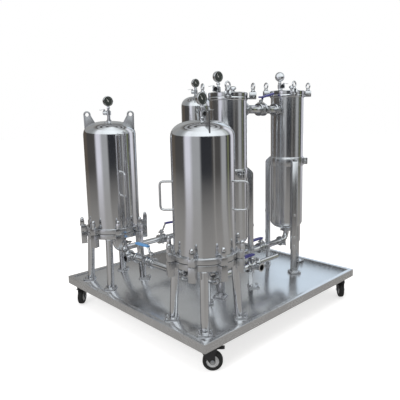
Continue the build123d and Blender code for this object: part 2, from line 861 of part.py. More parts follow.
eye_spots = [
    (bag, bag["bolt_turn"] + 360.0 / eye_count * index) for bag in bags.values() for index in range(eye_count)
]
neck_start = bag_radius + bag_flange_overhang + fit_gap
slot_half = eye_bolt_radius + slide_gap
with BuildPart() as eye_blocks:
    for bag, turn in eye_spots:
        block_start = neck_start + eye_neck_length
        bottom = bag["top"] + eye_block_lift
        spot = polar(bag["at"], block_start, turn)
        slot_start = eye_circle - block_start - slot_half
        slot_length = eye_block_depth + cut_over - slot_start
        with BuildSketch(turned_plane(spot, turn, bottom)) as profile:
            with Locations((-eye_neck_length / 2, 0)):
                Rectangle(eye_neck_length, eye_neck_width)
        extrude(profile.sketch, amount=eye_neck_height)
        with BuildSketch(turned_plane(spot, turn, bottom)) as profile:
            with Locations((eye_block_depth / 2, 0)):
                Rectangle(eye_block_depth, eye_block_width)
            with Locations((slot_start + slot_length / 2, 0)):
                Rectangle(slot_length, 2 * slot_half, mode=Mode.SUBTRACT)
        extrude(profile.sketch, amount=eye_block_height)
save(eye_blocks, "eye_blocks")

with BuildPart() as eye_bolts:
    for bag, turn in eye_spots:
        spot = polar(bag["at"], eye_circle, turn)
        bottom = bag["top"] + eye_block_lift
        nut_bottom = bottom + eye_block_height
        add_ring(spot, eye_bolt_radius, 0, bottom, eye_block_height + eye_nut_height)
        add_ring(spot, eye_nut_radius, 0, nut_bottom, eye_nut_height)
        ring_centre = nut_bottom + eye_nut_height + eye_ring_radius
        facing = radians(turn + eye_ring_turn)
        normal = (cos(facing), sin(facing), 0)
        across = (sin(facing), -cos(facing), 0)
        with BuildSketch(Plane(origin=(spot[0], spot[1], ring_centre + eye_ring_radius), x_dir=normal,
                               z_dir=across)):
            Circle(eye_bar_radius)
        revolve(axis=Axis((spot[0], spot[1], ring_centre), normal))
save(eye_bolts, "eye_bolts")


# Pipework
def add_pipe(start, direction, length, radius=tube_radius, lip=ferrule_radius):
    """Adds a straight spool with a ferrule at each end."""
    plane = Plane(origin=start, z_dir=direction)
    bore = radius - tube_wall
    for offset, outer, run in ((0, radius, length), (0, lip, ferrule_thickness),
                               (length - ferrule_thickness, lip, ferrule_thickness)):
        with BuildSketch(plane.offset(offset)) as profile:
            Circle(outer)
            Circle(bore, mode=Mode.SUBTRACT)
        extrude(profile.sketch, amount=run)


def add_elbow(point, turn):
    """Adds a bend from a housing's bottom nozzle down to the level pipe run."""
    heading = (cos(radians(turn)), sin(radians(turn)), 0)
    across = (sin(radians(turn)), -cos(radians(turn)), 0)
    bore = tube_radius - tube_wall
    bend_top = pipe_height + elbow_radius
    add_ring(point, tube_radius, bore, bend_top, elbow_tangent)
    add_ring(point, ferrule_radius, bore, bend_top + elbow_tangent - ferrule_thickness, ferrule_thickness)
    with BuildSketch(Plane((point[0], point[1], bend_top))) as profile:
        Circle(tube_radius)
        Circle(bore, mode=Mode.SUBTRACT)
    centre = (point[0] + elbow_radius * heading[0], point[1] + elbow_radius * heading[1], bend_top)
    revolve(profile.sketch, axis=Axis(centre, across), revolution_arc=quarter)
    end = (centre[0], centre[1], pipe_height)
    plane = Plane(origin=end, z_dir=heading)
    for offset, outer, run in ((0, tube_radius, elbow_tangent),
                               (elbow_tangent - ferrule_thickness, ferrule_radius, ferrule_thickness)):
        with BuildSketch(plane.offset(offset)) as profile:
            Circle(outer)
            Circle(bore, mode=Mode.SUBTRACT)
        extrude(profile.sketch, amount=run)


elbow_reach = elbow_radius + elbow_tangent

with BuildPart() as pipe_elbows:
    add_elbow(left_at, 0)
    add_elbow(rear_at, 180)
    add_elbow(nozzles["left"][1], -90)
    add_elbow(nozzles["front"][1], 90)
    add_elbow(front_at, 0)
    add_elbow(right_at, 180)
    add_elbow(middle_at, 0)
save(pipe_elbows, "pipe_elbows")

half_valve = valve_length / 2


def add_tee(centre, run, branch, branch_length, neck=0.0):
    """Adds a three-way piece: run and branch are unit directions, neck the height of a valve neck."""
    bore = tube_radius - tube_wall
    arms = (
        (run, tee_half, tee_run_extra),
        ((-run[0], -run[1], 0), tee_half, tee_run_extra),
        (branch, branch_length, 0),
    )
    for direction, length, extra in arms:
        plane = Plane(origin=centre, z_dir=direction)
        with BuildSketch(plane) as profile:
            Circle(tube_radius + extra)
        extrude(profile.sketch, amount=length)
        with BuildSketch(plane.offset(length - ferrule_thickness)) as profile:
            Circle(ferrule_radius)
        extrude(profile.sketch, amount=ferrule_thickness)
    if neck:
        add_ring(centre, front_body_radius, 0, centre[2] - front_body_half, 2 * front_body_half)
        add_ring(centre, valve_neck_radius, 0, centre[2], neck)
        add_ring(centre, valve_plate_radius, 0, centre[2] + neck, valve_plate_thickness)
    for direction, length, extra in arms:
        with BuildSketch(Plane(origin=centre, z_dir=direction)) as profile:
            Circle(bore + extra)
        extrude(profile.sketch, amount=length, mode=Mode.SUBTRACT)
    if neck:
        add_bore(centre, valve_stem_radius + run_gap, centre[2] - tube_radius - valve_seat_depth,
                 tube_radius + valve_seat_depth + neck + valve_plate_thickness + cut_over)


manifold_x = left_at[0]
valves = {
    "run": {"at": (run_valve_x, left_at[1], pipe_height), "pipe_turn": 0.0, "lever_turn": 0.0,
            "neck": 46.0, "rise": 110.0, "crank": 44.0, "reach": 130.0, "tilt": 0.0},
    "manifold": {"at": (manifold_x, manifold_valve_y, pipe_height), "pipe_turn": 90.0, "lever_turn": 90.0,
                 "neck": 46.0, "rise": 100.0, "crank": 30.0, "reach": 145.0, "tilt": 0.0},
    "front": {"at": (front_valve_x, front_at[1], pipe_height), "pipe_turn": 0.0, "lever_turn": 180.0,
              "neck": 36.0, "rise": 68.0, "crank": 18.0, "reach": 120.0, "tilt": 0.0},
    "bag": {"at": (bag_valve_x, middle_at[1], pipe_height), "pipe_turn": 0.0, "lever_turn": 180.0,
            "neck": 36.0, "rise": 68.0, "crank": 18.0, "reach": 120.0, "tilt": 0.0},
    "link": {"at": (link_valve_x, middle_at[1], link_height), "pipe_turn": 0.0, "lever_turn": 0.0,
             "neck": 42.0, "rise": 82.0, "crank": 18.0, "reach": 120.0, "tilt": 26.0},
}
with BuildPart() as pipe_tees:
    add_tee((manifold_x, manifold_tee_y, pipe_height), (0, 1, 0), (-1, 0, 0), manifold_branch)
    add_tee(valves["front"]["at"], (1, 0, 0), (0, -1, 0), front_branch_end, valves["front"]["neck"])
save(pipe_tees, "pipe_tees")


def valve_bore(name):
    return link_radius if name == "link" else tube_radius


def add_valve_body(name):
    valve = valves[name]
    size = valve_bore(name)
    lip = link_ferrule_radius if name == "link" else ferrule_radius
    turn = radians(valve["pipe_turn"])
    heading = (cos(turn), sin(turn), 0)
    start = Plane(origin=valve["at"], z_dir=heading).offset(-half_valve)
    for offset, outer, run in ((0, lip, ferrule_thickness), (0, size, valve_length),
                               (valve_length - ferrule_thickness, lip, ferrule_thickness),
                               (half_valve - valve_bulge_length / 2, size + valve_bulge, valve_bulge_length)):
        with BuildSketch(start.offset(offset)) as profile:
            Circle(outer)
        extrude(profile.sketch, amount=run)
    neck_top = valve["neck"]
    at = valve["at"]
    add_ring(at, valve_neck_radius, 0, at[2], neck_top)
    add_ring(at, valve_plate_radius, 0, at[2] + neck_top, valve_plate_thickness)
    with BuildSketch(start) as profile:
        Circle(size - tube_wall)
    extrude(profile.sketch, amount=valve_length, mode=Mode.SUBTRACT)
    add_bore(at, valve_stem_radius + run_gap, at[2] - size - valve_seat_depth,
             neck_top + size + valve_seat_depth + valve_plate_thickness + cut_over)


straight_valves = [valve_name for valve_name in valves if valve_name != "front"]
with BuildPart() as valve_bodies:
    for valve_name in straight_valves:
        add_valve_body(valve_name)
save(valve_bodies, "valve_bodies")


def add_valve_disc(valve, size, stem_top):
    """Adds the butterfly disc, shut across the bore, with its stem."""
    at = valve["at"]
    turn = radians(valve["pipe_turn"])
    heading = (cos(turn), sin(turn), 0)
    with BuildSketch(Plane(origin=at, z_dir=heading).offset(-disc_thickness / 2)) as profile:
        Circle(size - tube_wall - disc_gap)
    extrude(profile.sketch, amount=disc_thickness)
    stem_bottom = at[2] - size - valve_seat_depth + cut_over
    add_ring(at, valve_stem_radius, 0, stem_bottom, stem_top - stem_bottom)


def add_valve_lever(valve, hub_bottom, rise):
    """Adds the cranked hand lever with a hub bored for the stem."""
    at = valve["at"]
    hub_top = hub_bottom + lever_hub_height
    end_top = rise + valve["tilt"]
    side = radians(valve["lever_turn"])
    heading = (cos(side), sin(side), 0)
    normal = (sin(side), -cos(side), 0)
    lever_plane = Plane(origin=(at[0], at[1], 0), x_dir=heading, z_dir=normal).offset(-lever_width / 2)
    with BuildSketch(Plane(at).offset(hub_bottom - at[2])) as profile:
        Circle(lever_hub_radius)
        Circle(valve_stem_radius + fit_gap, mode=Mode.SUBTRACT)
    extrude(profile.sketch, amount=lever_hub_height)
    with BuildSketch(lever_plane) as profile:
        with BuildLine():
            Polyline(
                (lever_root, hub_bottom),
                (lever_hub_radius, hub_bottom),
                (valve["crank"], rise - lever_thickness),
                (valve["reach"], end_top - lever_thickness),
                (valve["reach"], end_top),
                (valve["crank"] - lever_thickness, rise),
                (lever_root, hub_top),
                close=True,
            )
        make_face()
    extrude(profile.sketch, amount=lever_width)


def build_valve_handle(name):
    valve = valves[name]
    size = valve_bore(name)
    hub_bottom = valve["at"][2] + valve["neck"] + valve_plate_thickness + swivel_gap
    stem_top = hub_bottom + lever_hub_height
    with BuildPart() as disc:
        add_valve_disc(valve, size, stem_top)
    with BuildPart() as lever:
        add_valve_lever(valve, hub_bottom, valve["at"][2] + valve["rise"])
    handle = Compound(children=[disc.part, lever.part])
    handle.label = f"{name}_valve_handle"
    export_step(handle, f"parts/{name}_valve_handle.step")


for valve_name in valves:
    build_valve_handle(valve_name)

spool_ends = [
    ((left_at[0] + elbow_reach, left_at[1]), (run_valve_x - half_valve, left_at[1])),
    ((run_valve_x + half_valve, left_at[1]), (rear_at[0] - elbow_reach, left_at[1])),
    ((manifold_x, manifold_tee_y - tee_half), (manifold_x, manifold_valve_y + half_valve)),
    ((manifold_x, manifold_valve_y - half_valve), (manifold_x, nozzles["front"][1][1] + elbow_reach)),
    ((front_at[0] + elbow_reach, front_at[1]), (front_valve_x - tee_half, front_at[1])),
    ((middle_at[0] + elbow_reach, middle_at[1]), (bag_valve_x - half_valve, middle_at[1])),
    ((bag_valve_x + half_valve, middle_at[1]), (right_at[0] - elbow_reach, middle_at[1])),
]
link_left = middle_at[0] + bag_radius + link_nozzle
link_right = right_at[0] - bag_radius - link_nozzle
with BuildPart() as pipe_spools:
    for begin, end in spool_ends:
        span = Vector(end[0] - begin[0], end[1] - begin[1], 0)
        add_pipe((begin[0], begin[1], pipe_height), span, span.length)
    for begin, end in ((link_left, link_valve_x - half_valve), (link_valve_x + half_valve, link_right)):
        add_pipe((begin, middle_at[1], link_height), (1, 0, 0), end - begin, link_radius, link_ferrule_radius)
    stub_start = front_valve_x + tee_half
    stub = Plane(origin=(stub_start, front_at[1], pipe_height), z_dir=(1, 0, 0))
    for outer, run in ((stub_radius, front_stub_end - stub_start), (ferrule_radius, ferrule_thickness)):
        with BuildSketch(stub) as profile:
            Circle(outer)
            Circle(stub_radius - stub_wall, mode=Mode.SUBTRACT)
        extrude(profile.sketch, amount=run)
save(pipe_spools, "pipe_spools")


# Ferrule clamps, one at each pipe joint
def add_clamp(point, direction, wing, size):
    """Adds a clamp ring with a wing screw: size holds its groove, land and outer radii."""
    groove, land, outer = size
    plane = Plane(origin=point, x_dir=wing, z_dir=direction)
    across = plane.y_dir
    with BuildSketch(plane.offset(-clamp_width / 2)) as profile:
        Circle(outer)
        with Locations((outer + clamp_ear_length / 2 - cut_over, 0)):
            Rectangle(clamp_ear_length, clamp_ear_thickness)
        Circle(land, mode=Mode.SUBTRACT)
    extrude(profile.sketch, amount=clamp_width)
    with BuildSketch(plane.offset(-ferrule_thickness - clamp_groove_gap)) as profile:
        Circle(groove)
    extrude(profile.sketch, amount=2 * (ferrule_thickness + clamp_groove_gap), mode=Mode.SUBTRACT)
    screw_at = Vector(point) + Vector(wing) * (outer + clamp_ear_length * 0.55)
    screw_start = clamp_ear_thickness / 2 + wing_depth
    screw = Plane(origin=screw_at, x_dir=wing, z_dir=across).offset(-screw_start)
    screw_length = clamp_ear_thickness + 2 * wing_depth + wing_height
    with BuildSketch(screw) as profile:
        Circle(wing_screw_radius)
    extrude(profile.sketch, amount=screw_length)
    with BuildSketch(screw.offset(screw_length - wing_height)) as profile:
        Circle(2 * wing_screw_radius)
        Rectangle(wing_span, wing_depth)
    extrude(profile.sketch, amount=wing_height)


tube_clamp = (ferrule_radius + clamp_groove_gap, clamp_land_radius, clamp_radius)
link_clamp = (link_ferrule_radius + clamp_groove_gap, link_land_radius, link_clamp_radius)
clamp_wing_turn = -46.0
joint_height = pipe_height + elbow_reach


def level_wing(direction):
    """Level, square to a level pipe, on the side away from the deck's middle."""
    return (0, -1, 0) if abs(direction[0]) > abs(direction[1]) else (-1, 0, 0)


upright_joints = [left_at, rear_at, front_at, middle_at, right_at, nozzles["left"][1], nozzles["front"][1]]
along_x = (1, 0, 0)
along_y = (0, 1, 0)
level_joints = [
    ((left_at[0] + elbow_reach, left_at[1]), along_x),
    ((run_valve_x - half_valve, left_at[1]), along_x),
    ((run_valve_x + half_valve, left_at[1]), along_x),
    ((rear_at[0] - elbow_reach, left_at[1]), along_x),
    ((manifold_x, nozzles["left"][1][1] - elbow_reach), along_y),
    ((manifold_x, manifold_tee_y - tee_half), along_y),
    ((manifold_x, manifold_valve_y + half_valve), along_y),
    ((manifold_x, manifold_valve_y - half_valve), along_y),
    ((manifold_x, nozzles["front"][1][1] + elbow_reach), along_y),
    ((front_at[0] + elbow_reach, front_at[1]), along_x),
    ((front_valve_x - tee_half, front_at[1]), along_x),
    ((front_valve_x + tee_half, front_at[1]), along_x),
    ((middle_at[0] + elbow_reach, middle_at[1]), along_x),
    ((bag_valve_x - half_valve, middle_at[1]), along_x),
    ((bag_valve_x + half_valve, middle_at[1]), along_x),
    ((right_at[0] - elbow_reach, middle_at[1]), along_x),
]
link_joints = [link_left, link_valve_x - half_valve, link_valve_x + half_valve, link_right]
with BuildPart() as pipe_clamps:
    for spot in upright_joints:
        turn = radians(clamp_wing_turn)
        add_clamp((spot[0], spot[1], joint_height), (0, 0, 1), (cos(turn), sin(turn), 0), tube_clamp)
    for spot, direction in level_joints:
        add_clamp((spot[0], spot[1], pipe_height), direction, level_wing(direction), tube_clamp)
    for joint_x in link_joints:
        add_clamp((joint_x, middle_at[1], link_height), along_x, (0, -1, 0), link_clamp)
save(pipe_clamps, "pipe_clamps")
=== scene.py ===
from math import cos, hypot, pi, radians, sin, tan

import bmesh
import bpy
from mathutils import Matrix, Vector


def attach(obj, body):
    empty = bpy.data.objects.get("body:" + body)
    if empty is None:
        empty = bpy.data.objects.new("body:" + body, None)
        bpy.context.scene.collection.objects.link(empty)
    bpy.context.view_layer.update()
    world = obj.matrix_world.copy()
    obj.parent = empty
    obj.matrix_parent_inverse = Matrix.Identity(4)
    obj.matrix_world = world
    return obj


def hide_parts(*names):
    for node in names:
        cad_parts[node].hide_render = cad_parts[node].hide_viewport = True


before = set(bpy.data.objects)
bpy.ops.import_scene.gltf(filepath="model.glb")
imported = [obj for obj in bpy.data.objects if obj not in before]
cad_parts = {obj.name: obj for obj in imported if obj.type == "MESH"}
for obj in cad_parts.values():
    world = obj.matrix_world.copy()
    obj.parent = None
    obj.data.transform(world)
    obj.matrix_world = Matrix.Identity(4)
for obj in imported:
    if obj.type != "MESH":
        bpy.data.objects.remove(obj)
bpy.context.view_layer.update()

bl_info = {
    "name": "Sanitary filtration skid",
    "version": (1, 0, 0),
    "blender": (4, 5, 0),
    "location": "View3D > Sidebar > Filtration",
    "description": "Fine pieces, finishes and stage for a wheeled filtration skid",
    "category": "Object",
}

# Lengths here are millimetres. Shape.finish turns them into metres.
MILLIMETRE = 0.001
RING_SEGMENTS = 144
TUBE_SEGMENTS = 40
BOLT_SEGMENTS = 20
SHARP_ANGLE = 32.0
THREAD_PITCH = 2.0
THREAD_DEPTH = 0.7

# Deck and casters
DECK_LENGTH = 1400.0
DECK_WIDTH = 1350.0
DECK_TOP = 180.0
DECK_SKIRT = 48.0
DECK_SHEET = 3.0
RIM_WIDTH = 28.0
FLOOR_RECESS = 6.0
FLOOR_TOP = DECK_TOP - FLOOR_RECESS
CASTERS = {
    "front": (-630.0, -608.0, -46.0),
    "right": (630.0, -608.0, -136.0),
    "left": (-630.0, 608.0, -136.0),
    "back": (630.0, 608.0, 44.0),
}
WHEEL_RADIUS = 50.0
WHEEL_WIDTH = 32.0
FORK_TRAIL = 32.0
FORK_INNER = 19.0
FORK_SHEET = 4.0
CROWN_BOTTOM = 108.0
CROWN_TOP = 116.0
PLATE_BOTTOM = 128.0
PLATE_TOP = 132.0
PEDAL_PIVOT = (46.0, 112.0)

# Cartridge housings
HOUSINGS = {
    "left": {"at": (-490.0, 400.0), "radius": 160.0, "shoulder": 1140.0, "dome": 68.0, "bolts": 8,
             "bolt_turn": -160.0, "handle_turn": -102.0, "lug_turn": -46.0},
    "front": {"at": (-490.0, -463.0), "radius": 160.0, "shoulder": 1140.0, "dome": 68.0, "bolts": 8,
              "bolt_turn": -151.0, "handle_turn": -50.0, "lug_turn": -120.0},
    "rear": {"at": (245.0, 400.0), "radius": 109.5, "shoulder": 1325.0, "dome": 56.0, "bolts": 6,
             "bolt_turn": -151.0, "handle_turn": -50.0, "lug_turn": -136.0},
}
DOME_BLEND = 25.0
DOME_FULLNESS = 2.5
BASE_BOTTOM = 486.0
BASE_TOP = 516.0
BELL_BOTTOM = 519.0
BELL_TOP = 547.0
FLANGE_OVERHANG = 14.0
SHELL_WALL = 3.0
DISH_INSET = 30.0
DISH_DEPTH = 34.0
LEG_RADIUS = 21.2
LEG_INSET = 6.0
LEG_SPLAY = 18.0
FOOT_SIZE = 70.0
FOOT_TOP = FLOOR_TOP + 8.0
FOOT_OFFSET = 10.0
BLOCK_DEPTH = 34.0
BLOCK_WIDTH = 36.0
BLOCK_DROP = 45.0
BLOCK_RISE = 10.0
BOLT_REACH = 24.5
BOLT_RADIUS = 6.0
HANDLE_HEIGHT = 828.0
HANDLE_SPACING = 146.0
HANDLE_REACH = 64.0
HANDLE_BAR = 6.0
LUG_HOLE = 12.0
LUG_EYE = 22.0
LUG_INSET = 24.0
LUG_RISE = 40.0

# Gauges: turn of the dial, rise of its centre, turn and rise of the vent cock, turn of its outlet
GAUGES = {
    "left": {"facing": -100.0, "centre": 122.0, "vent": 134.0, "vent_rise": 50.0, "outlet": 44.0},
    "front": {"facing": -90.0, "centre": 102.0, "vent": -46.0, "vent_rise": 28.0, "outlet": -136.0},
    "rear": {"facing": -97.0, "centre": 97.0, "vent": 134.0, "vent_rise": 32.0, "outlet": 44.0},
    "middle": {"facing": -96.0, "centre": 91.0, "vent": 134.0, "vent_rise": 20.0, "outlet": -136.0},
    "right": {"facing": 25.0, "centre": 92.0, "vent": -46.0, "vent_rise": 30.0, "outlet": -136.0},
}
BAG_GAUGE_SIDE = 134.0
GAUGE_RADIUS = 31.5
GAUGE_SETBACK = 8.0
VENT_BODY_RADIUS = 13.0
VENT_REACH = 34.0
VENT_BOSS_REACH = 26.0
VENT_BOSS_RISE = 17.0

# Bag filters
BAGS = {
    "middle": {"at": (-108.0, -272.0), "top": 1315.0, "collar": 865.0, "leg_turn": -40.0,
               "bolt_turn": -46.0, "link_side": 1, "gauge_offset": 55.0},
    "right": {"at": (465.0, -272.0), "top": 1347.0, "collar": 895.0, "leg_turn": 0.0,
              "bolt_turn": -36.0, "link_side": -1, "gauge_offset": 50.0},
}
BAG_RADIUS = 109.5
BAG_KNUCKLE = 505.0
BAG_DISH = 54.0
BAG_FLANGE_TOP = 20.0
BAG_LID_BOTTOM = 22.0
BAG_LID_TOP = 46.0
COLLAR_HEIGHT = 60.0
BAG_LEG_WIDTH = 40.0
BAG_LEG_DEPTH = 30.0
BAG_LEG_SHEET = 4.0
BAG_LEG_BOTTOM = 330.0
BAG_LEG_WEB = 144.5
BAG_LEG_CIRCLE = 135.0
EYE_CIRCLE = 146.0
EYE_BLOCK_LIFT = 7.0
EYE_BLOCK_HEIGHT = 40.0
EYE_NECK = 9.4
EYE_RING_TURN = 30.0

# Pipework
PIPE_HEIGHT = 370.0
LINK_HEIGHT = 1268.0
TUBE = {"radius": 19.05, "wall": 1.65, "lip": 25.25, "clamp": 33.0, "land": 22.5}
LINK = {"radius": 25.4, "wall": 1.65, "lip": 32.0, "clamp": 40.0, "land": 29.0}
FERRULE = 3.0
ELBOW_RADIUS = 57.0
ELBOW_TANGENT = 12.0
ELBOW_REACH = ELBOW_RADIUS + ELBOW_TANGENT
NOZZLE_OFFSET = 92.0
TEE_HALF = 44.0
VALVE_HALF = 22.0
MANIFOLD_TEE_Y = 195.0
MANIFOLD_BRANCH = 60.0
FRONT_TEE_X = -119.0
FRONT_BRANCH = 72.0
STUB_END = 115.0
STUB_RADIUS = 14.0
LINK_NOZZLE = 35.0
VALVES = {
    "run": {"at": (-118.0, 400.0, PIPE_HEIGHT), "pipe_turn": 0.0, "lever_turn": 0.0,
            "neck": 46.0, "rise": 110.0, "crank": 44.0, "reach": 130.0, "tilt": 0.0},
    "manifold": {"at": (-490.0, 10.0, PIPE_HEIGHT), "pipe_turn": 90.0, "lever_turn": 90.0,
                 "neck": 46.0, "rise": 100.0, "crank": 30.0, "reach": 145.0, "tilt": 0.0},
    "front": {"at": (FRONT_TEE_X, -463.0, PIPE_HEIGHT), "pipe_turn": 0.0, "lever_turn": 180.0,
              "neck": 36.0, "rise": 68.0, "crank": 18.0, "reach": 120.0, "tilt": 0.0},
    "bag": {"at": (190.0, -272.0, PIPE_HEIGHT), "pipe_turn": 0.0, "lever_turn": 180.0,
            "neck": 36.0, "rise": 68.0, "crank": 18.0, "reach": 120.0, "tilt": 0.0},
    "link": {"at": (190.0, -272.0, LINK_HEIGHT), "pipe_turn": 0.0, "lever_turn": 0.0,
             "neck": 42.0, "rise": 82.0, "crank": 18.0, "reach": 120.0, "tilt": 26.0},
}
LEVER_WIDTH = 28.0
LEVER_THICKNESS = 11.0
CLAMP_WIDTH = 14.0
CLAMP_WING_TURN = -46.0

# Tone that polished and cast steel takes where it is seen edge on, and that sheet takes
EDGE_TINT = 0.25
SHEET_EDGE_TINT = 0.9

FLOOR_REACH = 30.0

# Reflection cards: metres, degrees from the camera's side (left of it negative), linear tones
CARD_RADIUS = 4.5
CARD_COLUMNS = 240
CARD_FRONT = -133.5
# The band and the roof are brightest at their turns and keep these shares elsewhere
CARD_BAND_TURN = 15.0
CARD_BAND_REST = 0.25
CARD_SKY_TURN = 12.0
CARD_SKY_SHARE = 0.9
CARD_ROOF = 5.5
CARD_TONES = {
    "ground": (0.36, 0.35, 0.335),
    "band": (1.15, 1.22, 1.25),
    "brown": (0.11, 0.092, 0.075),
    "umber": (0.065, 0.062, 0.06),
    "warm": (0.27, 0.262, 0.25),
    "grey": (0.40, 0.41, 0.42),
    "lilac": (0.80, 0.80, 0.88),
    "sky": (0.78, 0.90, 1.02),
    "night": (0.02, 0.022, 0.028),
    "leaf": (0.22, 0.24, 0.13),
}
CARD_STOPS = (
    (-180.0, "umber"), (-158.0, "warm"), (-130.0, "brown"), (-108.0, "brown"), (-98.0, "umber"),
    (-62.0, "umber"), (-53.0, "lilac"), (-40.0, "lilac"), (-30.0, "grey"), (-10.0, "grey"), (-4.0, "night"),
    (24.0, "night"), (30.0, "umber"), (33.0, "warm"), (37.0, "umber"), (54.0, "umber"), (62.0, "grey"),
    (76.0, "grey"), (84.0, "night"), (92.0, "leaf"), (98.0, "night"), (106.0, "umber"), (114.0, "lilac"),
    (130.0, "lilac"), (140.0, "warm"), (148.0, "sky"), (164.0, "sky"), (172.0, "warm"), (180.0, "umber"),
)
# Height and radius share of each ring of the cards, the tone it is mixed with and its share
CARD_LEVELS = (
    (0.001, 0.05, "ground", 1.0), (0.001, 0.3, "ground", 0.95), (0.001, 0.6, "ground", 0.8),
    (0.001, 1.0, "ground", 0.6), (0.3, 1.0, "ground", 0.35), (0.55, 1.0, "ground", 0.05),
    (1.85, 1.0, "ground", 0.0), (2.0, 1.0, "band", 1.0), (5.0, 1.0, "band", 1.0), (6.0, 1.0, "warm", 1.0),
    (6.0, 0.82, "umber", 1.0), (6.0, 0.79, "grey", 1.0), (6.0, 0.64, "grey", 1.0), (6.0, 0.61, "umber", 1.0),
    (6.0, 0.52, "umber", 1.0), (6.0, 0.49, "grey", 1.0), (6.0, 0.33, "grey", 1.0), (6.0, 0.3, "umber", 1.0),
    (6.0, 0.22, "umber", 1.0), (6.0, 0.19, "grey", 1.0), (6.0, 0.01, "grey", 1.0),
)

# The photograph's camera, found from the deck's corners and the vessels' edges
CAMERA_AT = (-1.958, -2.062, 1.202)
CAMERA_YAW = -46.0
CAMERA_PITCH = -8.88
CAMERA_ROLL = -0.69
CAMERA_LENS = 39.15
CAMERA_SHIFT = (-0.0736, -0.0289)


def polar(centre, radius, turn):
    """Plan point at a radius and turn in degrees round a centre."""
    return (centre[0] + radius * cos(radians(turn)), centre[1] + radius * sin(radians(turn)))


def upright(x, y, z=0.0, turn=0.0):
    """Place whose local X points outward at a turn and whose local Z is up."""
    return Matrix.Translation((x, y, z)) @ Matrix.Rotation(radians(turn), 4, "Z")


def level(x, y, z, turn=0.0):
    """Place whose local Z lies level at a turn, local X down."""
    return upright(x, y, z, turn) @ Matrix.Rotation(radians(90), 4, "Y")


def soften(points, radius, steps=3):
    """Rounds every corner of a closed outline with a short arc."""
    result = []
    count = len(points)
    for index, point in enumerate(points):
        corner = Vector(point)
        before = Vector(points[index - 1]) - corner
        after = Vector(points[(index + 1) % count]) - corner
        reach = min(radius, before.length * 0.45, after.length * 0.45)
        start = corner + before.normalized() * reach
        end = corner + after.normalized() * reach
        for step in range(steps + 1):
            t = step / steps
            result.append(tuple((1 - t) ** 2 * start + 2 * t * (1 - t) * corner + t**2 * end))
    return result


def rectangle(x0, y0, x1, y1, radius=0.0, steps=3):
    corners = [(x0, y0), (x1, y0), (x1, y1), (x0, y1)]
    return soften(corners, radius, steps) if radius else corners


def disc(radius, centre=(0.0, 0.0), segments=24):
    return [(centre[0] + radius * cos(2 * pi * k / segments), centre[1] + radius * sin(2 * pi * k / segments))
            for k in range(segments)]


def bend(points, radius, steps=8):
    """Rounds the inner corners of an open path in space."""
    path = [Vector(points[0])]
    for before, corner, after in zip(points, points[1:], points[2:]):
        corner = Vector(corner)
        back = Vector(before) - corner
        ahead = Vector(after) - corner
        opening = back.angle(ahead)
        reach = min(radius / tan(opening / 2), back.length * 0.49, ahead.length * 0.49)
        start = corner + back.normalized() * reach
        end = corner + ahead.normalized() * reach
        for step in range(steps + 1):
            t = step / steps
            weight = 2 * t * (1 - t) * (1.0 + 0.17 * (1 - abs(2 * t - 1)))
            rest = 1 - weight
            share = t**2 / ((1 - t) ** 2 + t**2)
            path.append(corner * weight + (start * (1 - share) + end * share) * rest)
    path.append(Vector(points[-1]))
    return path


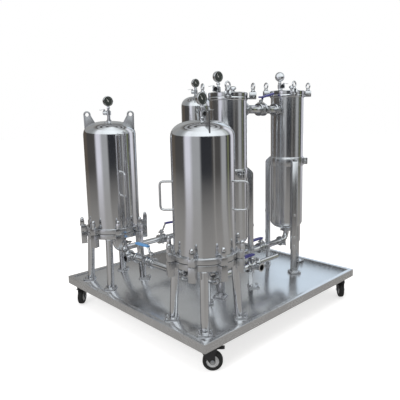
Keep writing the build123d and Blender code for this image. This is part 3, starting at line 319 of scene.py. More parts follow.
class Shape:
    """Collects solids in millimetres and ends as one piece in metres."""

    def __init__(self):
        self.mesh = bmesh.new()

    def lathe(self, outline, place=Matrix(), segments=TUBE_SEGMENTS):
        """Revolves (radius, height) points about local Z. A ring's outline closes on itself."""
        rings = []
        for radius, height in outline:
            if radius < 0.0001:
                rings.append([self.mesh.verts.new(place @ Vector((0, 0, height)))])
                continue
            rings.append([
                self.mesh.verts.new(place @ Vector((radius * cos(2 * pi * k / segments),
                                                    radius * sin(2 * pi * k / segments), height)))
                for k in range(segments)
            ])
        pairs = list(zip(rings, rings[1:]))
        if len(rings[0]) > 1 and len(rings[-1]) > 1:
            pairs.append((rings[-1], rings[0]))
        for lower, upper in pairs:
            for k in range(segments):
                following = (k + 1) % segments
                corners = [lower[k % len(lower)], lower[following % len(lower)],
                           upper[following % len(upper)], upper[k % len(upper)]]
                corners = list(dict.fromkeys(corners))
                if len(corners) > 2:
                    self.mesh.faces.new(corners)

    def prism(self, outline, bottom, top, place=Matrix(), bevel=0.8, holes=()):
        """A plate between two heights on local Z, with rounded edges and holes through it."""
        curve = bpy.data.curves.new("outline", "CURVE")
        curve.dimensions = "2D"
        curve.fill_mode = "BOTH"
        curve.extrude = (top - bottom) / 2 - bevel
        curve.bevel_depth = bevel
        curve.bevel_resolution = 1
        curve.offset = -bevel
        for loop in (outline, *holes):
            spline = curve.splines.new("POLY")
            spline.points.add(len(loop) - 1)
            for point, place_in_plane in zip(spline.points, loop):
                point.co = (place_in_plane[0], place_in_plane[1], 0, 1)
            spline.use_cyclic_u = True
        holder = bpy.data.objects.new("outline", curve)
        mesh = bpy.data.meshes.new_from_object(holder)
        mesh.transform(place @ Matrix.Translation((0, 0, (top + bottom) / 2)))
        solid = bmesh.new()
        solid.from_mesh(mesh)
        bmesh.ops.remove_doubles(solid, verts=solid.verts, dist=0.01)
        bmesh.ops.recalc_face_normals(solid, faces=solid.faces)
        solid.to_mesh(mesh)
        solid.free()
        self.mesh.from_mesh(mesh)
        bpy.data.objects.remove(holder)
        bpy.data.curves.remove(curve)
        bpy.data.meshes.remove(mesh)

    def tube(self, path, radius, segments=14, closed=False):
        """Sweeps a round bar along points in space; radius may be one number or one per point."""
        count = len(path)
        radii = radius if isinstance(radius, (list, tuple)) else [radius] * count
        normal = None
        rings = []
        for index, point in enumerate(path):
            ahead = path[(index + 1) % count] if closed or index + 1 < count else point
            behind = path[index - 1] if closed or index > 0 else point
            along = (Vector(ahead) - Vector(behind)).normalized()
            if normal is None:
                normal = along.orthogonal().normalized()
            normal = (normal - along * normal.dot(along)).normalized()
            side = along.cross(normal)
            rings.append([
                self.mesh.verts.new(Vector(point) + radii[index] * (normal * cos(2 * pi * k / segments)
                                                                    + side * sin(2 * pi * k / segments)))
                for k in range(segments)
            ])
        pairs = list(zip(rings, rings[1:]))
        if closed:
            pairs.append((rings[-1], rings[0]))
        for lower, upper in pairs:
            for k in range(segments):
                following = (k + 1) % segments
                self.mesh.faces.new([lower[k], lower[following], upper[following], upper[k]])
        if not closed:
            self.mesh.faces.new(rings[0])
            self.mesh.faces.new(rings[-1])

    def frame(self, outline, length, width, corner, steps=4):
        """Sweeps (inset, height) points round a rounded rectangle."""
        rings = []
        for inset, height in outline:
            radius = max(corner - inset, 0.5)
            ring = []
            for quadrant, (side_x, side_y) in enumerate(((1, 1), (-1, 1), (-1, -1), (1, -1))):
                centre = (side_x * (length / 2 - inset - radius), side_y * (width / 2 - inset - radius))
                for step in range(steps + 1):
                    spot = polar(centre, radius, 90.0 * (quadrant + step / steps))
                    ring.append(self.mesh.verts.new((*spot, height)))
            rings.append(ring)
        for lower, upper in zip(rings, rings[1:] + rings[:1]):
            for k in range(len(lower)):
                following = (k + 1) % len(lower)
                self.mesh.faces.new([lower[k], lower[following], upper[following], upper[k]])

    def finish(self, name, surface, body="skid", slot="satin_steel", replaces=()):
        """Ends the shape as a piece that rides on a body."""
        piece = self.unit(name)
        bpy.context.scene.collection.objects.link(piece)
        return settle(piece, surface, body, replaces)

    def unit(self, name):
        """Ends the shape as a loose smooth-shaded unit, which Geometry Nodes can repeat."""
        bmesh.ops.recalc_face_normals(self.mesh, faces=self.mesh.faces)
        bmesh.ops.scale(self.mesh, vec=(MILLIMETRE,) * 3, verts=self.mesh.verts)
        mesh = bpy.data.meshes.new(name)
        self.mesh.to_mesh(mesh)
        self.mesh.free()
        mesh.shade_smooth()
        mesh.set_sharp_from_angle(angle=radians(SHARP_ANGLE))
        return bpy.data.objects.new(name, mesh)


def settle(piece, surface, body, replaces=()):
    """Gives a piece its finish, its body and the CAD nodes it stands for."""
    piece.data.materials.clear()
    piece.data.materials.append(surface)
    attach(piece, body)
    if replaces:
        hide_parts(*replaces)
    return piece


def build_repeat_tree():
    """Puts a copy of a piece on every point, turned as the point's attribute says."""
    tree = bpy.data.node_groups.new("Repeat piece", "GeometryNodeTree")
    sockets = tree.interface
    sockets.new_socket("Geometry", in_out="INPUT", socket_type="NodeSocketGeometry")
    sockets.new_socket("Piece", in_out="INPUT", socket_type="NodeSocketObject")
    sockets.new_socket("Size", in_out="INPUT", socket_type="NodeSocketFloat").default_value = 1.0
    sockets.new_socket("Finish", in_out="INPUT", socket_type="NodeSocketMaterial")
    sockets.new_socket("Geometry", in_out="OUTPUT", socket_type="NodeSocketGeometry")
    entry = tree.nodes.new("NodeGroupInput")
    piece = tree.nodes.new("GeometryNodeObjectInfo")
    turn = tree.nodes.new("GeometryNodeInputNamedAttribute")
    turn.data_type = "FLOAT_VECTOR"
    turn.inputs["Name"].default_value = "turn"
    rotation = tree.nodes.new("FunctionNodeEulerToRotation")
    copies = tree.nodes.new("GeometryNodeInstanceOnPoints")
    realize = tree.nodes.new("GeometryNodeRealizeInstances")
    finish = tree.nodes.new("GeometryNodeSetMaterial")
    leave = tree.nodes.new("NodeGroupOutput")
    link = tree.links.new
    link(entry.outputs["Geometry"], copies.inputs["Points"])
    link(entry.outputs["Piece"], piece.inputs["Object"])
    link(piece.outputs["Geometry"], copies.inputs["Instance"])
    link(turn.outputs["Attribute"], rotation.inputs["Euler"])
    link(rotation.outputs["Rotation"], copies.inputs["Rotation"])
    link(entry.outputs["Size"], copies.inputs["Scale"])
    link(copies.outputs["Instances"], realize.inputs["Geometry"])
    link(realize.outputs["Geometry"], finish.inputs["Geometry"])
    link(entry.outputs["Finish"], finish.inputs["Material"])
    link(finish.outputs["Geometry"], leave.inputs["Geometry"])
    return tree


def repeat(name, unit, places, surface, body="skid", replaces=(), size=1.0):
    """Repeats a unit at each place with Geometry Nodes and settles the result as one piece."""
    tree = bpy.data.node_groups.get("Repeat piece") or build_repeat_tree()
    points = bpy.data.meshes.new("points")
    points.from_pydata([tuple(place.translation * MILLIMETRE) for place in places], [], [])
    turns = points.attributes.new("turn", "FLOAT_VECTOR", "POINT")
    for item, place in zip(turns.data, places):
        item.vector = place.to_euler()
    carrier = bpy.data.objects.new("carrier", points)
    bpy.context.scene.collection.objects.link(carrier)
    modifier = carrier.modifiers.new("Repeat", "NODES")
    modifier.node_group = tree
    names = {item.name: item.identifier for item in tree.interface.items_tree if item.in_out == "INPUT"}
    modifier[names["Piece"]] = unit
    modifier[names["Size"]] = size
    modifier[names["Finish"]] = surface
    depsgraph = bpy.context.evaluated_depsgraph_get()
    mesh = bpy.data.meshes.new_from_object(carrier.evaluated_get(depsgraph), depsgraph=depsgraph)
    mesh.name = name
    bpy.data.objects.remove(carrier)
    bpy.data.objects.remove(unit)
    piece = bpy.data.objects.new(name, mesh)
    bpy.context.scene.collection.objects.link(piece)
    return settle(piece, surface, body, replaces)


class Wire:
    """A shader socket with arithmetic: each operator adds its Math node."""

    def __init__(self, surface, socket):
        self.surface = surface
        self.socket = socket

    def math(self, operation, *values):
        return self.surface.node("ShaderNodeMath", {"operation": operation}, dict(enumerate(values)))

    def __add__(self, other):
        return self.math("ADD", self, other)

    def __sub__(self, other):
        return self.math("SUBTRACT", self, other)

    def __rsub__(self, other):
        return self.math("SUBTRACT", other, self)

    def __mul__(self, other):
        return self.math("MULTIPLY", self, other)

    def clamp(self, low, high):
        return self.math("MAXIMUM", self.math("MINIMUM", self, high), low)

    __radd__ = __add__
    __rmul__ = __mul__


class Surface:
    """One material and its nodes."""

    def __init__(self, name):
        self.material = bpy.data.materials.new(name)
        self.material.use_nodes = True
        self.tree = self.material.node_tree
        self.shader = self.tree.nodes["Principled BSDF"]
        self.place = self.node("ShaderNodeTexCoord", output="Object")

    def node(self, kind, settings=None, inputs=None, output=0):
        """Adds a node: settings first, then a value or a link for each named socket."""
        node = self.tree.nodes.new(kind)
        for key, value in (settings or {}).items():
            if key == "stops":
                ramp = node.color_ramp.elements
                while len(ramp) < len(value):
                    ramp.new(0.5)
                for element, (position, colour) in zip(ramp, value):
                    element.position = position
                    element.color = colour if len(colour) == 4 else (*colour, 1)
            else:
                setattr(node, key, value)
        for key, value in (inputs or {}).items():
            if isinstance(value, Wire):
                self.tree.links.new(value.socket, node.inputs[key])
            else:
                node.inputs[key].default_value = value
        return Wire(self, node.outputs[output])

    def stretched(self, scale):
        return self.node("ShaderNodeMapping", inputs={"Vector": self.place, "Scale": scale})

    def noise(self, scale, detail=3.0, roughness=0.5, vector=None):
        return self.node("ShaderNodeTexNoise", inputs={"Vector": vector or self.place, "Scale": scale,
                                                       "Detail": detail, "Roughness": roughness})

    def blend(self, factor, first, second):
        return self.node("ShaderNodeMix", {"data_type": "RGBA"}, {"Factor": factor, 6: first, 7: second}, 2)

    def bump(self, height, strength, distance=0.001):
        return self.node("ShaderNodeBump", inputs={"Height": height, "Strength": strength,
                                                   "Distance": distance})

    def set(self, **values):
        for key, value in values.items():
            socket = self.shader.inputs[key.replace("_", " ")]
            if isinstance(value, Wire):
                self.tree.links.new(value.socket, socket)
            else:
                socket.default_value = value
        return self.material


def tinted(colour, factor):
    return tuple(channel * factor for channel in colour[:3]) + (1.0,)


def polished_finish(name, colour, roughness, dents, streaks, edge=SHEET_EDGE_TINT):
    """Mirror-polished sheet: faint dents, wiping streaks and smudges."""
    surface = Surface(name)
    dent = surface.noise(5.0, 2.0)
    streak = surface.noise(1.0, 4.0, 0.6, surface.stretched((260.0, 260.0, 5.0)))
    smudge = surface.noise(14.0, 5.0, 0.65)
    base = surface.blend(smudge, tinted(colour, 0.93), tinted(colour, 1.03))
    rough = (roughness + smudge * 0.05 + streak * streaks - 0.02).clamp(0.02, 1.0)
    return surface.set(Base_Color=base, Metallic=1.0, Roughness=rough, Specular_Tint=(edge, edge, edge, 1),
                       Normal=surface.bump(dent + streak * 0.02, dents, 0.004))


def satin_finish(name, colour, roughness, grain, along):
    """Brushed or ground steel with a directional grain and slight stains."""
    surface = Surface(name)
    lines = surface.noise(1.0, 5.0, 0.6, surface.stretched(along))
    stain = surface.noise(7.0, 4.0, 0.6)
    base = surface.blend(stain, tinted(colour, 0.86), tinted(colour, 1.06))
    rough = (roughness + lines * 0.14 + stain * 0.08 - 0.11).clamp(0.05, 1.0)
    return surface.set(Base_Color=base, Metallic=1.0, Roughness=rough,
                       Normal=surface.bump(lines, grain, 0.0006))


def cast_finish(name, colour, roughness):
    """Investment-cast steel, tumbled: fine pitting and soft gloss."""
    surface = Surface(name)
    pits = surface.noise(900.0, 3.0)
    cloud = surface.noise(30.0, 3.0)
    base = surface.blend(cloud, tinted(colour, 0.85), tinted(colour, 1.05))
    return surface.set(Base_Color=base, Metallic=1.0, Roughness=(roughness + cloud * 0.12 - 0.06),
                       Specular_Tint=(EDGE_TINT, EDGE_TINT, EDGE_TINT, 1),
                       Normal=surface.bump(pits, 0.25, 0.0004))


def paint_finish(name, colour, roughness, texture):
    """Painted or moulded surface with a fine orange peel and a little dust."""
    surface = Surface(name)
    peel = surface.noise(texture, 3.0)
    dust = surface.noise(25.0, 5.0, 0.65)
    base = surface.blend(dust, tinted(colour, 0.9), tinted(colour, 1.15))
    return surface.set(Base_Color=base, Metallic=0.0, Roughness=(roughness + dust * 0.1 - 0.05),
                       Normal=surface.bump(peel, 0.2, 0.0004))


def make_finishes():
    """Every finish by name, made once."""
    settings = bpy.context.scene.filtration_finishes
    steel = settings.steel_colour
    return {
        "mirror": polished_finish("mirror_steel", steel, settings.polish, 0.10, 0.04),
        "tube": polished_finish("polished_tube", tinted(steel, 1.06), settings.polish, 0.04, 0.04, EDGE_TINT),
        "plate": satin_finish("lug_plate", tinted(steel, 0.55), 0.30, 0.08, (300.0, 300.0, 300.0)),
        "satin_mirror": polished_finish("bag_steel", tinted(steel, 0.98), settings.polish + 0.07, 0.08, 0.05),
        "satin": satin_finish("satin_steel", tinted(steel, 0.92), 0.30, 0.15, (30.0, 30.0, 500.0)),
        "ground": satin_finish("ground_steel", tinted(steel, 0.95), 0.22, 0.10, (400.0, 400.0, 60.0)),
        "rim": satin_finish("rim_sheet", tinted(steel, 1.0), 0.26, 0.03, (300.0, 300.0, 300.0)),
        "deck": satin_finish("deck_sheet", tinted(steel, 0.92), 0.20, 0.05, (12.0, 420.0, 200.0)),
        "cast": cast_finish("cast_steel", tinted(steel, 0.98), 0.12),
        "zinc": cast_finish("zinc_plate", (0.62, 0.64, 0.67), 0.32),
        "black": paint_finish("black_enamel", (0.022, 0.022, 0.024), 0.34, 500.0),
        "tyre": paint_finish("tyre_rubber", (0.018, 0.018, 0.018), 0.72, 900.0),
        "disc": paint_finish("wheel_plastic", (0.76, 0.77, 0.78), 0.40, 700.0),
        "gasket": paint_finish("gasket_rubber", (0.05, 0.05, 0.05), 0.65, 900.0),
        "blue": paint_finish("sky_blue_sleeve", settings.blue_colour, 0.30, 600.0),
        "purple": paint_finish("purple_sleeve", settings.purple_colour, 0.30, 600.0),
        "dial": paint_finish("dial_enamel", (0.035, 0.042, 0.036), 0.35, 900.0),
        "white": paint_finish("dial_print", (0.75, 0.75, 0.72), 0.5, 900.0),
        # Near-black finish for discs set inside open tube ends: painted shade in place of the dark inside of
        # each bore.
        "shadow": paint_finish("bore_painted_shade", (0.012, 0.012, 0.012), 0.6, 400.0),
    }


FINISHES = {}


def finish_of(name):
    if not FINISHES:
        FINISHES.update(make_finishes())
    return FINISHES[name]


class FiltrationFinishes(bpy.types.PropertyGroup):
    """Colours and polish of the visible surfaces."""

    steel_colour: bpy.props.FloatVectorProperty(
        name="Steel colour", description="Reflected colour of the stainless steel", subtype="COLOR",
        size=3, min=0.0, max=1.0, default=(0.78, 0.785, 0.80))
    polish: bpy.props.FloatProperty(
        name="Polish", description="Roughness of the mirror-polished shells", subtype="FACTOR",
        min=0.02, max=0.4, default=0.075)
    blue_colour: bpy.props.FloatVectorProperty(
        name="Blue sleeve", description="Colour of the manifold valve's sleeve", subtype="COLOR",
        size=3, min=0.0, max=1.0, default=(0.13, 0.36, 0.72))
    purple_colour: bpy.props.FloatVectorProperty(
        name="Purple sleeve", description="Colour of the other valves' sleeves", subtype="COLOR",
        size=3, min=0.0, max=1.0, default=(0.055, 0.05, 0.26))


class FiltrationStage(bpy.types.PropertyGroup):
    """Floor, lamps and camera."""

    floor_colour: bpy.props.FloatVectorProperty(
        name="Floor colour", description="Colour of the plain floor", subtype="COLOR",
        size=3, min=0.0, max=1.0, default=(0.80, 0.80, 0.80))
    floor_glow: bpy.props.FloatProperty(
        name="Floor glow", description="How far the floor is whitened for the camera", min=0.0, max=1.0,
        default=0.6)
    lens: bpy.props.FloatProperty(
        name="Lens", description="Focal length of the camera in millimetres", min=10.0, max=200.0,
        default=CAMERA_LENS)
    key_power: bpy.props.FloatProperty(
        name="Key lamp", description="Power of the large soft lamp in watts", min=0.0, max=500.0,
        default=60.0)


class FILTRATION_OT_bells(bpy.types.Operator):
    """Shells, domes and upper flanges of the cartridge housings"""

    bl_idname = "filtration.bells"
    bl_label = "Bells"

    def execute(self, context):
        shells = Shape()
        flanges = Shape()
        seams = Shape()
        for housing in HOUSINGS.values():
            place = upright(*housing["at"])
            radius = housing["radius"]
            shells.lathe(bell_outline(housing), place, RING_SEGMENTS)
            flanges.lathe(soften([(radius - 1, BELL_BOTTOM), (radius + FLANGE_OVERHANG, BELL_BOTTOM),
                                  (radius + FLANGE_OVERHANG, BELL_TOP), (radius - 1, BELL_TOP)], 2.5),
                          place, RING_SEGMENTS)
            seams.lathe(bead(radius + 0.4, BELL_TOP + 0.6, 2.2), place, RING_SEGMENTS)
        shells.finish("bell_shells", finish_of("mirror"), "skid", "polished_steel",
                      ("cartridge_shells", "cartridge_domes"))
        flanges.finish("bell_flange_rings", finish_of("ground"), "skid", "satin_steel", ("bell_flanges",))
        seams.finish("bell_seams", finish_of("tube"), "skid", "polished_steel")
        return {"FINISHED"}


def bell_outline(housing, steps=28):
    """A shell with its domed head: outside from the foot to the crown, then back down inside."""
    radius = housing["radius"]
    low = housing["shoulder"] - DOME_BLEND
    rise = housing["dome"] + DOME_BLEND
    outside = []
    inside = []
    for step in range(steps + 1):
        turn = pi / 2 * step / steps
        along = max(cos(turn), 0.0) ** (2 / DOME_FULLNESS)
        up = sin(turn) ** (2 / DOME_FULLNESS)
        outside.append((radius * along, low + rise * up))
        inside.append(((radius - SHELL_WALL) * along,
                       low + (rise - SHELL_WALL) * up))
    outside[-1] = (0.0, outside[-1][1])
    inside[-1] = (0.0, inside[-1][1])
    foot = [(radius - SHELL_WALL, BELL_BOTTOM), (radius, BELL_BOTTOM)]
    return [*reversed(inside), *foot, *outside]


def bead(radius, height, size, steps=8):
    """Outline of a small round weld bead."""
    return [(radius + size * cos(2 * pi * k / steps), height + size * 0.6 * sin(2 * pi * k / steps))
            for k in range(steps)]


class FILTRATION_OT_deck(bpy.types.Operator):
    """Tray deck: folded rim and recessed floor sheet"""

    bl_idname = "filtration.deck"
    bl_label = "Deck"

    def execute(self, context):
        skirt_bottom = DECK_TOP - DECK_SKIRT
        section = [(0, skirt_bottom), (0, DECK_TOP), (RIM_WIDTH, DECK_TOP),
                   (RIM_WIDTH, FLOOR_TOP - DECK_SHEET), (RIM_WIDTH - DECK_SHEET, FLOOR_TOP - DECK_SHEET),
                   (RIM_WIDTH - DECK_SHEET, DECK_TOP - DECK_SHEET), (DECK_SHEET, DECK_TOP - DECK_SHEET),
                   (DECK_SHEET, skirt_bottom + DECK_SHEET), (RIM_WIDTH, skirt_bottom + DECK_SHEET),
                   (RIM_WIDTH, skirt_bottom)]
        rim = Shape()
        rim.frame(soften(section, 3.0), DECK_LENGTH, DECK_WIDTH, 9.0)
        rim.finish("deck_rim", finish_of("rim"), "skid", "satin_steel",
                   ("deck_rails_long", "deck_rails_cross"))
        sheet = Shape()
        inside = RIM_WIDTH + 0.2
        sheet.prism(rectangle(-DECK_LENGTH / 2 + inside, -DECK_WIDTH / 2 + inside,
                              DECK_LENGTH / 2 - inside, DECK_WIDTH / 2 - inside, 2.0),
                    FLOOR_TOP - DECK_SHEET, FLOOR_TOP, bevel=0.5)
        sheet.finish("deck_sheet", finish_of("deck"), "skid", "satin_steel", ("deck_floor",))
        seam = Shape()
        seam.frame(bead(RIM_WIDTH + 0.5, FLOOR_TOP + 0.2, 1.8), DECK_LENGTH, DECK_WIDTH, 9.0)
        seam.finish("deck_seam", finish_of("rim"), "skid", "satin_steel")
        for node in ("deck_bearers", "corner_plates"):
            dress(node, "satin")
        return {"FINISHED"}


def dress(node, surface):
    """Gives a carried-over CAD node a finish."""
    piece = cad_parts[node]
    piece.data.materials.clear()
    piece.data.materials.append(finish_of(surface))


def beside(at, turn):
    """Upright place beside a caster or bolt: local X outward, local Y up, local Z across."""
    return upright(at[0], at[1], 0.0, turn) @ Matrix.Rotation(radians(90), 4, "X")


class FILTRATION_OT_casters(bpy.types.Operator):
    """Top plates, forks, wheels and brake pedals of the four casters"""

    bl_idname = "filtration.casters"
    bl_label = "Casters"

    def execute(self, context):
        tops = Shape()
        bolts = []
        for name, (x, y, turn) in CASTERS.items():
            add_caster_top(tops, upright(x, y))
            bolts += [upright(x + side_x * 39, y + side_y * 31, PLATE_BOTTOM) @ Matrix.Rotation(pi, 4, "X")
                      for side_x in (-1, 1) for side_y in (-1, 1)]
            place = beside((x, y), turn)
            add_fork(name, place)
            add_wheel(name, place)
            add_pedal(name, place)
        tops.finish("caster_tops", finish_of("zinc"), "skid", "zinc", ("caster_plates",))
        repeat("caster_plate_bolts", bolt_head_unit(6.5, 4.5, 8.0), bolts, finish_of("zinc"))
        return {"FINISHED"}


def add_caster_top(shape, place):
    shape.prism(rectangle(-50, -42, 50, 42, 8), PLATE_BOTTOM, PLATE_TOP, place)
    race = [(8, CROWN_TOP + 0.4), (31, CROWN_TOP + 0.4), (33, CROWN_TOP + 3), (33, CROWN_TOP + 7),
            (28, CROWN_TOP + 8), (30, PLATE_BOTTOM), (8, PLATE_BOTTOM)]
    shape.lathe(soften(race, 1.2), place)
    pin = [(0, CROWN_BOTTOM - 4.3), (8, CROWN_BOTTOM - 4.3), (10, CROWN_BOTTOM - 2), (10, CROWN_BOTTOM - 0.4),
           (6.9, CROWN_BOTTOM - 0.4), (6.9, PLATE_BOTTOM), (0, PLATE_BOTTOM)]
    shape.lathe(pin, place)


def bolt_head_unit(radius, height, washer):
    """Hexagon head on a washer, base at the origin."""
    shape = Shape()
    shape.lathe([(0, 0), (washer, 0), (washer, 1.2), (washer - 0.6, 1.6), (0, 1.6)], segments=BOLT_SEGMENTS)
    shape.prism(disc(radius, segments=6), 1.6, 1.6 + height, bevel=0.6)
    return shape.unit("bolt_head")


def add_fork(name, place):
    fork = Shape()
    outline = [(-22, 116), (43, 120), (54, 119), (54, 105), (45.5, 96), (45.5, 44), (38, 36.8), (26, 36.8),
               (18.5, 44), (-19, 98)]
    for low, high in ((FORK_INNER, FORK_INNER + FORK_SHEET), (-FORK_INNER - FORK_SHEET, -FORK_INNER)):
        fork.prism(soften(outline, 8), low, high, place, 1.2)
    x, y, turn = CASTERS[name]
    crown = rectangle(-22, -FORK_INNER - FORK_SHEET, 38, FORK_INNER + FORK_SHEET, 6)
    fork.prism(crown, CROWN_BOTTOM, CROWN_TOP, upright(x, y, 0, turn), 1.5,
               (disc(7.4),))
    fork.finish(f"{name}_fork", finish_of("black"), f"{name}_swivel", "caster_black",
                (f"{name}_caster_fork",))
    axle = Shape()
    axle_place = place @ Matrix.Translation((FORK_TRAIL, WHEEL_RADIUS, 0))
    outer = FORK_INNER + FORK_SHEET
    axle.lathe([(0, -outer - 0.2), (5.9, -outer - 0.2), (5.9, outer + 0.2), (0, outer + 0.2)], axle_place, 24)
    for flip in (Matrix(), Matrix.Rotation(pi, 4, "X")):
        axle.lathe([(0, outer), (11, outer), (11, outer + 1.4), (0, outer + 1.4)], axle_place @ flip, 24)
        axle.prism(disc(8.5, segments=6), outer + 1.4, outer + 5, axle_place @ flip, 0.7)
        axle.lathe([(0, outer + 5), (5, outer + 5), (4.2, outer + 6.6), (0, outer + 7)],
                   axle_place @ flip, 16)
    axle.finish(f"{name}_axle", finish_of("zinc"), f"{name}_swivel", "zinc")


def add_wheel(name, place):
    centre = place @ Matrix.Translation((FORK_TRAIL, WHEEL_RADIUS, 0))
    half = WHEEL_WIDTH / 2
    tyre = Shape()
    side = [(39.2, 13.3), (31, 13.3), (31, half - 0.6), (44, half), (49, half - 3.5), (50, half - 8)]
    tread = side + [(radius, -height) for radius, height in reversed(side)]
    tyre.lathe(soften(tread, 1.5), centre, 72)
    tyre.finish(f"{name}_wheel_tyre", finish_of("tyre"), f"{name}_wheel", "tyre", (f"{name}_tyre",))
    hub = Shape()
    face = [(6.3, -15), (12, -15), (13, -9), (30, -7), (33, -12), (39, -13), (39, 13), (33, 12), (30, 7),
            (13, 9), (12, 15), (6.3, 15)]
    hub.lathe(soften(face, 1.2), centre, 64)
    for spoke in range(6):
        turn = Matrix.Rotation(radians(60 * spoke), 4, "Z")
        hub.prism(rectangle(12, -1.6, 32, 1.6), -11, 11, centre @ turn, 0.7)
    hub.finish(f"{name}_wheel_disc", finish_of("disc"), f"{name}_wheel", "wheel_disc", (f"{name}_hub",))


def add_pedal(name, place):
    pedal = Shape()
    root, height = PEDAL_PIVOT
    outline = [(root - 6, height - 3), (root, height - 7), (root + 6, height - 3), (root + 12, height + 1),
               (root + 40, height + 1), (root + 46, height + 3), (root + 45, height + 6),
               (root + 10, height + 6),
               (root - 4, height + 6)]
    pedal.prism(soften(outline, 2.5), -15, 15, place, 1.2)
    for ridge in range(6):
        start = root + 17 + 4.4 * ridge
        pedal.prism(rectangle(start, height + 5, start + 2.2, height + 7.4, 0.6, 2), -12.5, 12.5,
                    place, 0.4)
    pedal.lathe([(0, -22.9), (4, -22.9), (4, 22.9), (0, 22.9)],
                place @ Matrix.Translation((root, height, 0)), 20)
    pedal.finish(f"{name}_pedal_plate", finish_of("black"), f"{name}_pedal", "caster_black",
                 (f"{name}_brake_pedal",))


class FILTRATION_OT_bases(bpy.types.Operator):
    """Base flanges with dished bottoms, nozzles, gaskets, legs and feet"""

    bl_idname = "filtration.bases"
    bl_label = "Bases and legs"

    def execute(self, context):
        rings = Shape()
        dishes = Shape()
        legs = Shape()
        feet = Shape()
        gaskets = Shape()
        bolts = []
        for name, housing in HOUSINGS.items():
            place = upright(*housing["at"])
            radius = housing["radius"]
            bowl = radius - DISH_INSET
            rings.lathe(soften([(bowl - SHELL_WALL, BASE_BOTTOM), (radius + FLANGE_OVERHANG, BASE_BOTTOM),
                                (radius + FLANGE_OVERHANG, BASE_TOP), (bowl - SHELL_WALL, BASE_TOP)], 2.5),
                        place, RING_SEGMENTS)
            gaskets.lathe(soften([(radius - 3, BASE_TOP), (radius + 10, BASE_TOP), (radius + 10, BELL_BOTTOM),
                                  (radius - 3, BELL_BOTTOM)], 0.8), place, RING_SEGMENTS)
            dishes.lathe(dish_outline(bowl, DISH_DEPTH, BASE_BOTTOM), place, RING_SEGMENTS)
            dishes.lathe(bead(bowl + 0.5, BASE_BOTTOM, 2.5), place, RING_SEGMENTS)
            for spot in nozzle_spots(name):
                off_centre = hypot(spot[0] - housing["at"][0], spot[1] - housing["at"][1])
                reach = DISH_DEPTH * (0.94 if off_centre < 1 else 0.62)
                add_nozzle(dishes, spot, BASE_BOTTOM - reach)
            for index in range(4):
                turn = -45.0 + 90.0 * index
                add_tube_leg(legs, housing, turn)
                centre = radius - LEG_INSET + LEG_SPLAY + FOOT_OFFSET
                add_foot(feet, polar(housing["at"], centre, turn), turn)
                bolts += foot_bolts(polar(housing["at"], centre, turn), turn)
        for bag in BAGS.values():
            gaskets.lathe(soften([(BAG_RADIUS - 3, BAG_FLANGE_TOP), (BAG_RADIUS + 3, BAG_FLANGE_TOP),
                                  (BAG_RADIUS + 3, BAG_LID_BOTTOM), (BAG_RADIUS - 3, BAG_LID_BOTTOM)], 0.5),
                          upright(*bag["at"], bag["top"]), RING_SEGMENTS)
            for index in range(3):
                turn = bag["leg_turn"] + 120.0 * index
                spot = polar(bag["at"], BAG_LEG_CIRCLE + FOOT_OFFSET, turn)
                add_foot(feet, spot, turn)
                bolts += foot_bolts(spot, turn)
        rings.finish("base_rings", finish_of("ground"), "skid", "satin_steel", ("base_flanges",))
        dishes.finish("base_dishes", finish_of("tube"), "skid", "polished_steel")
        legs.finish("tube_legs", finish_of("tube"), "skid", "satin_steel", ("housing_legs",))
        feet.finish("feet", finish_of("satin"), "skid", "satin_steel", ("foot_plates",))
        gaskets.finish("flat_gaskets", finish_of("gasket"), "skid", "gasket", ("gaskets",))
        repeat("foot_bolts", bolt_head_unit(6.5, 5.0, 8.5), bolts, finish_of("tube"))
        return {"FINISHED"}


def nozzle_spots(name):
    x, y = HOUSINGS[name]["at"]
    spots = {"left": [(x, y), (x, y - NOZZLE_OFFSET)], "front": [(x, y), (x, y + NOZZLE_OFFSET)],
             "rear": [(x, y)]}
    return spots[name]


def dish_outline(radius, depth, seam, steps=20):
    """A hollow half-elliptical bottom that hangs below a seam, open in the middle for its nozzle."""
    outside = []
    inside = []
    for step in range(steps + 1):
        turn = radians(84.0) * step / steps
        outside.append((radius * cos(turn), seam - depth * sin(turn)))
        inside.append(((radius - SHELL_WALL) * cos(turn), seam - (depth - SHELL_WALL) * sin(turn)))
    outside.append((1.0, seam - depth))
    inside.append((1.0, seam - depth + SHELL_WALL))
    return [*outside, *reversed(inside)]


def ferrule_outline(size, start, out, length):
    """A tube whose first end carries a clamp lip; out is 1 where it runs up local Z and -1 down."""
    bore = size["radius"] - size["wall"]
    points = [(bore, 0), (size["lip"], 0), (size["lip"], FERRULE - 0.6), (size["radius"] + 1, FERRULE + 3),
              (size["radius"], FERRULE + 5), (size["radius"], length), (bore, length)]
    return [(radius, start + out * height) for radius, height in points]


def add_nozzle(shape, spot, top):
    bottom = PIPE_HEIGHT + ELBOW_REACH
    place = upright(spot[0], spot[1])
    shape.lathe(ferrule_outline(TUBE, bottom, 1, top - bottom), place)
    shape.lathe(bead(TUBE["radius"] + 0.5, top - 1, 2.2), place)


def add_tube_leg(shape, housing, turn):
    head = polar(housing["at"], housing["radius"] - LEG_INSET, turn)
    foot = polar(housing["at"], housing["radius"] - LEG_INSET + LEG_SPLAY, turn)
    path = [Vector((*foot, FOOT_TOP - 0.5)), Vector((*head, BASE_BOTTOM + 0.5))]
    shape.tube(path, LEG_RADIUS, 36)
    run = path[1] - path[0]
    for share, size in ((0.006, 2.6), (0.992, 2.6)):
        centre = path[0] + run * share
        shape.lathe(bead(LEG_RADIUS + 0.4, 0, size), upright(*centre), 36)


def add_foot(shape, spot, turn):
    half = FOOT_SIZE / 2
    shape.prism(rectangle(-half, -half, half, half, 6), FLOOR_TOP, FOOT_TOP, upright(*spot, 0, turn), 1.2)


def foot_bolts(spot, turn):
    place = upright(*spot, FOOT_TOP, turn)
    return [place @ Matrix.Translation((x, y, 0)) for x in (-24, 25) for y in (-25, 25)]


